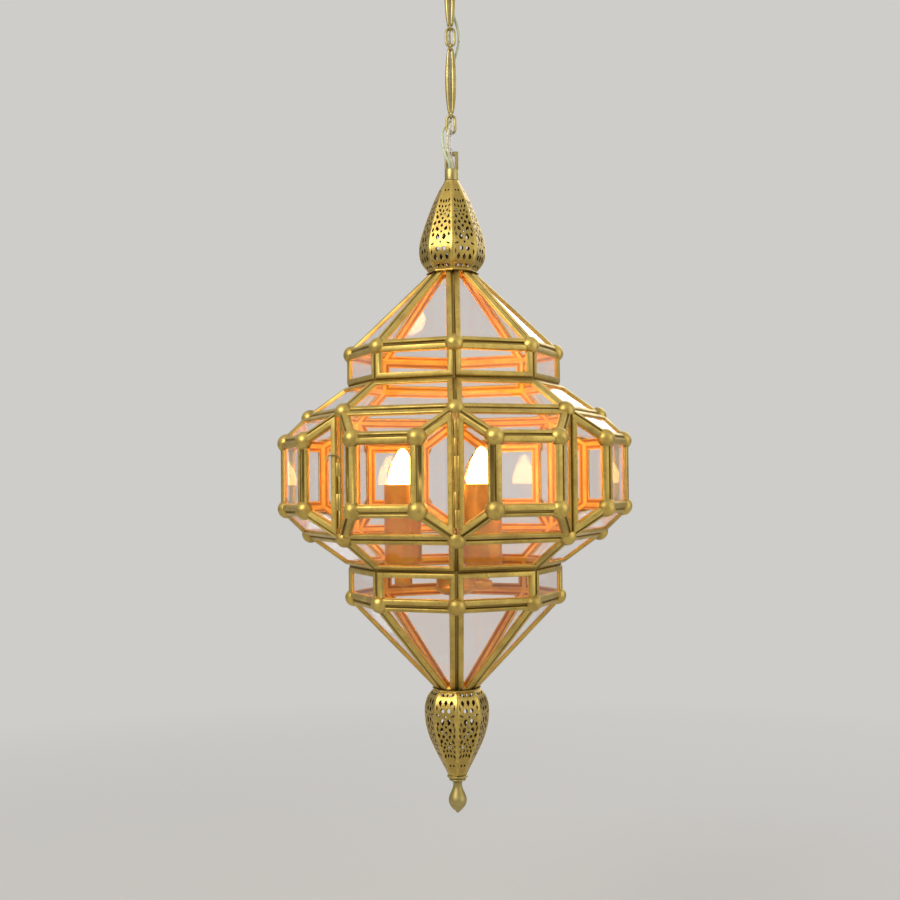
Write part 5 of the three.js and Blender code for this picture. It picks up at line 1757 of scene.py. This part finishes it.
@dataclass
class NeckGear:
    """The collar with its stirrup, the centre tube and the finial."""

    finishes: Finishes
    collar_foot: float = 325.218
    collar_height: float = 12.4
    collar_radius: float = 7.65
    collar_bore: float = 5.5
    wire_bore: float = 4.4
    thread_depth: float = 7.0
    stirrup_height: float = 20.3
    stirrup_depth: float = 3.4
    stirrup_sunk: float = 0.8
    leg: float = 3.9
    bar: float = 5.0
    pipe_radius: float = 5.2
    pipe_hold: float = 6.7
    finial_top: float = -326.923

    def build(self) -> None:
        """Builds the collar, the tube and the finial."""
        foot, height, radius = self.collar_foot, self.collar_height, self.collar_radius
        bore, narrow, depth = self.collar_bore, self.wire_bore, self.thread_depth
        profile = [(bore, 0), (radius, 0), (radius, height), (narrow, height), (narrow, depth), (bore, depth)]
        sleeve = Work().revolve(profile, 48, closed=True, base=foot).soften(0.6, 3)
        work = Work().absorb(sleeve).absorb(self.stirrup(foot + height))
        work.finish("neck_collar_and_stirrup", self.finishes.polished, "neck_collar")
        low, high = self.finial_top - self.pipe_hold, foot + self.pipe_hold
        profile = [(narrow, low), (self.pipe_radius, low), (self.pipe_radius, high), (narrow, high)]
        pipe = Work().revolve(profile, 40, closed=True)
        pipe.finish("centre_tube_pipe", self.finishes.polished, "centre_tube")
        self.finial()

    def stirrup(self, foot: float) -> Work:
        """The stirrup: a flat arch of square bar with rounded edges.

        Args:
            foot: the height of the collar's top.

        Returns:
            The stirrup.
        """
        low, high = foot - self.stirrup_sunk, foot + self.stirrup_height
        outer, inner, under = self.collar_radius, self.collar_radius - self.leg, high - self.bar
        arch = [
            (-outer, low), (-inner, low), (-inner, under), (inner, under), (inner, low), (outer, low),
            (outer, high), (-outer, high),
        ]
        outline = [Vector((x, -self.stirrup_depth / 2, z)) for x, z in arch]
        return Work().prism(outline, Vector((0, self.stirrup_depth, 0))).soften(0.9, 3)

    def finial(self) -> None:
        """The turned finial, from its disc and beads to its pointed bulb."""
        rim = [
            (0, -0.2), (10.4, -0.2), (11.3, -0.9), (11.3, -2.4), (10.4, -3.1), (8.4, -3.3), (8.1, -4.0),
            (8.9, -4.5), (9.2, -5.3), (8.7, -6.2), (6.6, -6.9), (5.3, -8.2),
        ]
        bulb = [
            (4.9, -9.6), (4.9, -12.4), (5.9, -16.0), (8.0, -20.6), (9.7, -25.6), (9.8, -29.2), (8.6, -33.0),
            (6.2, -36.4), (3.0, -39.6), (1.0, -41.4), (0.0, -42.0),
        ]
        work = Work().revolve([*rim, *curve_points(bulb)], 48, base=self.finial_top)
        work.finish("finial_turned", self.finishes.polished, "finial", sharp=50.0)


@dataclass
class CeilingFitting:
    """The canopy, the hook with its eye and the grip that the wires pass through."""

    finishes: Finishes
    canopy_foot: float = 605.318
    canopy_sheet: Pair = (1.2, 1.1)
    hook_eye: float = 594.118
    hook_top: float = 638.8
    flange_foot: float = 602.018
    grip_outset: float = 15.0
    grip_gap: float = 0.3

    def build(self) -> None:
        """Builds the canopy, hook and grip, and gives the strap its finish."""
        self.canopy()
        self.hook()
        grip = Work().revolve(
            [
                (4.8, -7), (6.2, -7), (7.0, -6), (7.4, -3), (8.0, -2.4), (8.0, 0), (5.9, 0), (5.9, 5), (4.8, 5),
            ],
            36, closed=True, base=self.canopy_foot - self.grip_gap,
        ).soften(0.3)
        grip.move(Matrix.Translation((0, self.grip_outset, 0)))
        grip.finish("cord_grip_turned", self.finishes.antique, "cord_grip", Body.CEILING)
        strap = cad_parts["mounting_strap"].data.materials
        strap.clear()
        strap.append(self.finishes.steel.material)

    def canopy(self) -> None:
        """The dish of thin sheet under the ceiling."""
        outer = curve_points(
            [(3.3, 0), (24, 0.0), (33, 3.0), (42, 9.4), (50, 20.0), (54, 30.0), (55, 34.5), (55, 37.7)], 4
        )
        thin, rise = self.canopy_sheet
        inner = [(radius - thin if radius > 4 else radius, height + rise) for radius, height in outer[:-1]]
        rim, top = outer[-1]
        sheet = [*outer, (rim - thin, top), *reversed(inner)]
        profile = [(radius, max(0.0, height)) for radius, height in sheet]
        canopy = Work().revolve(profile, 72, closed=True, base=self.canopy_foot)
        canopy.finish("ceiling_canopy_dish", self.finishes.antique, "ceiling_canopy", Body.CEILING)

    def hook(self) -> None:
        """The hook's flange and stem, with the eye that the top ring hangs in."""
        eye, low, top = self.hook_eye, self.flange_foot, self.hook_top
        stem = Work().revolve(
            [
                (0, eye + 3.5), (2.3, eye + 3.5), (2.5, eye + 5.2), (3.0, low - 0.6), (6.6, low),
                (7.0, low + 0.5), (7.0, low + 2.5), (6.6, low + 3.0), (3.0, low + 3.0), (3.0, top), (0, top),
            ],
            32,
        )
        hook = Work().absorb(stem).absorb(loop(1.2, 3.9, 7.8, eye))
        hook.finish("ceiling_hook_and_eye", self.finishes.antique, "ceiling_hook", Body.CEILING)


# Candle lights


CANDLES = (("front", 30.0), ("back", 150.0), ("left", -90.0))


@dataclass
class Hub:
    """The turned hub on the centre tube, which the three arms branch from."""

    finishes: Finishes
    foot: float = -131.0

    def build(self) -> None:
        """Builds the hub."""
        profile = [
            (5.5, 0), (12.6, 0), (14.2, 1.0), (20.6, 4.2), (22.0, 6.0), (22.0, 9.0), (21.0, 9.8), (21.0, 18.6),
            (22.0, 19.4), (22.0, 24.6), (20.8, 26.0), (5.5, 26.0),
        ]
        work = Work().revolve(profile, 56, closed=True, base=self.foot).soften(0.5)
        work.finish("light_hub_turned", self.finishes.candle, "light_hub")


@dataclass
class Candle:
    """One light: its arm with the pan, its sleeve, its lampholder and its flame-shaped bulb."""

    finishes: Finishes
    name: str
    degrees: float
    circle: float = 57.0
    pan_top: float = -97.9
    arm_drop: float = 14.0
    arm_start: float = 22.3
    arm_width: float = 8.0
    arm_height: float = 6.4
    nut_radius: float = 11.0
    nut_height: float = 8.0
    nut_gap: float = 0.2
    sleeve_foot: float = -97.6
    sleeve_height: float = 87.6
    sleeve_radius: float = 20.5
    sleeve_sheet: float = 1.3
    holder_foot: float = -97.5
    holder_height: float = 51.9
    holder_depth: float = 30.0
    rib_heights: tuple[float, ...] = (12.0, 24.0, 36.0)
    screw_foot: float = -70.0
    thread_start: float = 5.0
    thread_turns: int = 5
    thread_pitch: float = 3.6
    bulb_shoulder: float = -42.0

    def build(self) -> None:
        """Builds the light from its arm up."""
        self.angle = math.radians(self.degrees)
        self.stand = Matrix.Translation(on_ring(self.circle, self.angle, 0))
        self.arm()
        self.sleeve()
        self.lampholder()
        self.bulb()

    def arm(self) -> None:
        """The arm with its pan and bottom nut."""
        foot, length = self.pan_top - self.arm_drop, self.circle - self.arm_start
        bar = Work().block((self.arm_width, length, self.arm_height), 1.2, 3)
        middle = (0, -self.arm_start - length / 2, foot + self.arm_height / 2)
        bar.move(Matrix.Translation(middle), turn(self.angle))
        profile = [
            (0, -1.0), (13.6, -1.0), (14.2, 0), (15.0, 0), (15.0, -1.4), (11.5, -4.6), (7.4, -7.2), (6.6, -8.0),
            (6.6, -self.arm_drop), (0, -self.arm_drop),
        ]
        pan = Work().revolve(profile, 48, base=self.pan_top)
        nut = Work()
        bmesh.ops.create_cone(
            nut.bm, cap_ends=True, segments=6, radius1=self.nut_radius, radius2=self.nut_radius,
            depth=self.nut_height, matrix=Matrix.Translation((0, 0, foot - self.nut_gap - self.nut_height / 2)),
        )
        nut.soften(0.8)
        knob = Work().revolve([(0, -10), (3.4, -10), (5.2, -9.4), (6.0, -8.1), (0, -8.1)], 32, base=foot)
        work = Work().absorb(bar).absorb(pan, self.stand).absorb(nut, self.stand).absorb(knob, self.stand)
        work.finish(f"{self.name}_candle_arm_and_pan", self.finishes.candle, f"{self.name}_candle_arm")

    def sleeve(self) -> None:
        """The candle sleeve, rounded in at its foot."""
        radius, top = self.sleeve_radius, self.sleeve_height
        bore = radius - self.sleeve_sheet
        outer = [
            (12.0, 0), (15.2, 0), (17.6, 0.7), (19.3, 2.2), (20.2, 4.2), (radius, 6.6), (radius, top - 0.3),
            (radius - 0.3, top),
        ]
        inner = [
            (bore + 0.3, top), (bore, top - 0.3), (bore, 6.8), (18.6, 4.0), (16.8, 2.0), (15.0, 1.3),
            (12.0, 1.3),
        ]
        work = Work().revolve([*outer, *inner], 56, closed=True, base=self.sleeve_foot).move(self.stand)
        work.finish(f"{self.name}_candle_sleeve_drawn", self.finishes.sleeve, f"{self.name}_candle_sleeve")

    def lampholder(self) -> None:
        """The ribbed lampholder."""
        top, floor, ribs = self.holder_height, self.holder_height - self.holder_depth, []
        for height in self.rib_heights:
            ribs += [(11.0, height), (10.3, height + 0.8), (10.3, height + 2.4), (11.0, height + 3.2)]
        profile = [
            (0, 0), (10.4, 0), (11.0, 0.6), *ribs, (11.0, top - 0.6), (10.4, top), (7.6, top), (7.3, top - 0.4),
            (7.3, floor), (0, floor),
        ]
        work = Work().revolve(profile, 40, base=self.holder_foot).move(self.stand)
        work.finish(f"{self.name}_lampholder_glazed", self.finishes.porcelain, f"{self.name}_lampholder")

    def bulb(self) -> None:
        """The lit bulb: its screw cap, clear envelope and the glow inside."""
        node, thread = f"{self.name}_bulb", []
        for i in range(self.thread_turns):
            low = self.thread_start + i * self.thread_pitch
            thread += [(6.4, low), (6.95, low + 0.9), (6.95, low + 1.8), (6.4, low + 2.7)]
        profile = [(0, 0), (3.0, 0), (5.6, 2.4), *thread, (6.9, 27.0), (6.9, 30.4), (0, 30.4)]
        screw = Work().revolve(profile, 32, base=self.screw_foot).move(self.stand)
        screw.finish(f"{self.name}_bulb_screw_cap", self.finishes.screw, node)
        flame = [
            (7.4, 2.6), (9.6, 5), (13.6, 12), (16.4, 22), (17.4, 33), (17.0, 42), (14.6, 52), (10.4, 61),
            (5.0, 69), (1.6, 71.4), (0.0, 72),
        ]
        profile = [(0, 2.6), *curve_points(flame)]
        envelope = Work().revolve(profile, 40, base=self.bulb_shoulder).move(self.stand)
        envelope.finish(f"{self.name}_bulb_envelope", self.finishes.envelope, node, sharp=70.0)
        light = [
            (0.0, -27.0), (3.0, -26.2), (6.4, -21.0), (9.4, -14.0), (10.9, -6.0), (10.2, 2.0), (7.6, 9.6),
            (4.8, 16.0), (2.4, 22.0), (1.0, 26.4), (0.0, 27.6),
        ]
        glow = Work().revolve(curve_points(light), 36).move(self.stand)
        glow.finish(f"{self.name}_bulb_glow", self.finishes.glow, node, sharp=70.0)


def main() -> None:
    """Builds the scene, piece by piece."""
    logging.basicConfig(level=logging.INFO, format="%(name)s: %(message)s")
    bpy.context.scene.view_settings.view_transform = "Standard"
    finishes = Finishes()
    Studio().build()
    FLEX.build(finishes.flex)
    EARTH.build(finishes.earth)
    bay = Bay(finishes)
    GlazedBody(finishes).build(bay)
    bay.build()
    Pins(finishes).build()
    TOP_CAP.build(finishes)
    BOTTOM_CAP.build(finishes)
    Chain(finishes).build()
    NeckGear(finishes).build()
    CeilingFitting(finishes).build()
    Hub(finishes).build()
    for name, degrees in CANDLES:
        Candle(finishes, name, degrees).build()


if __name__ == "__main__":
    main()
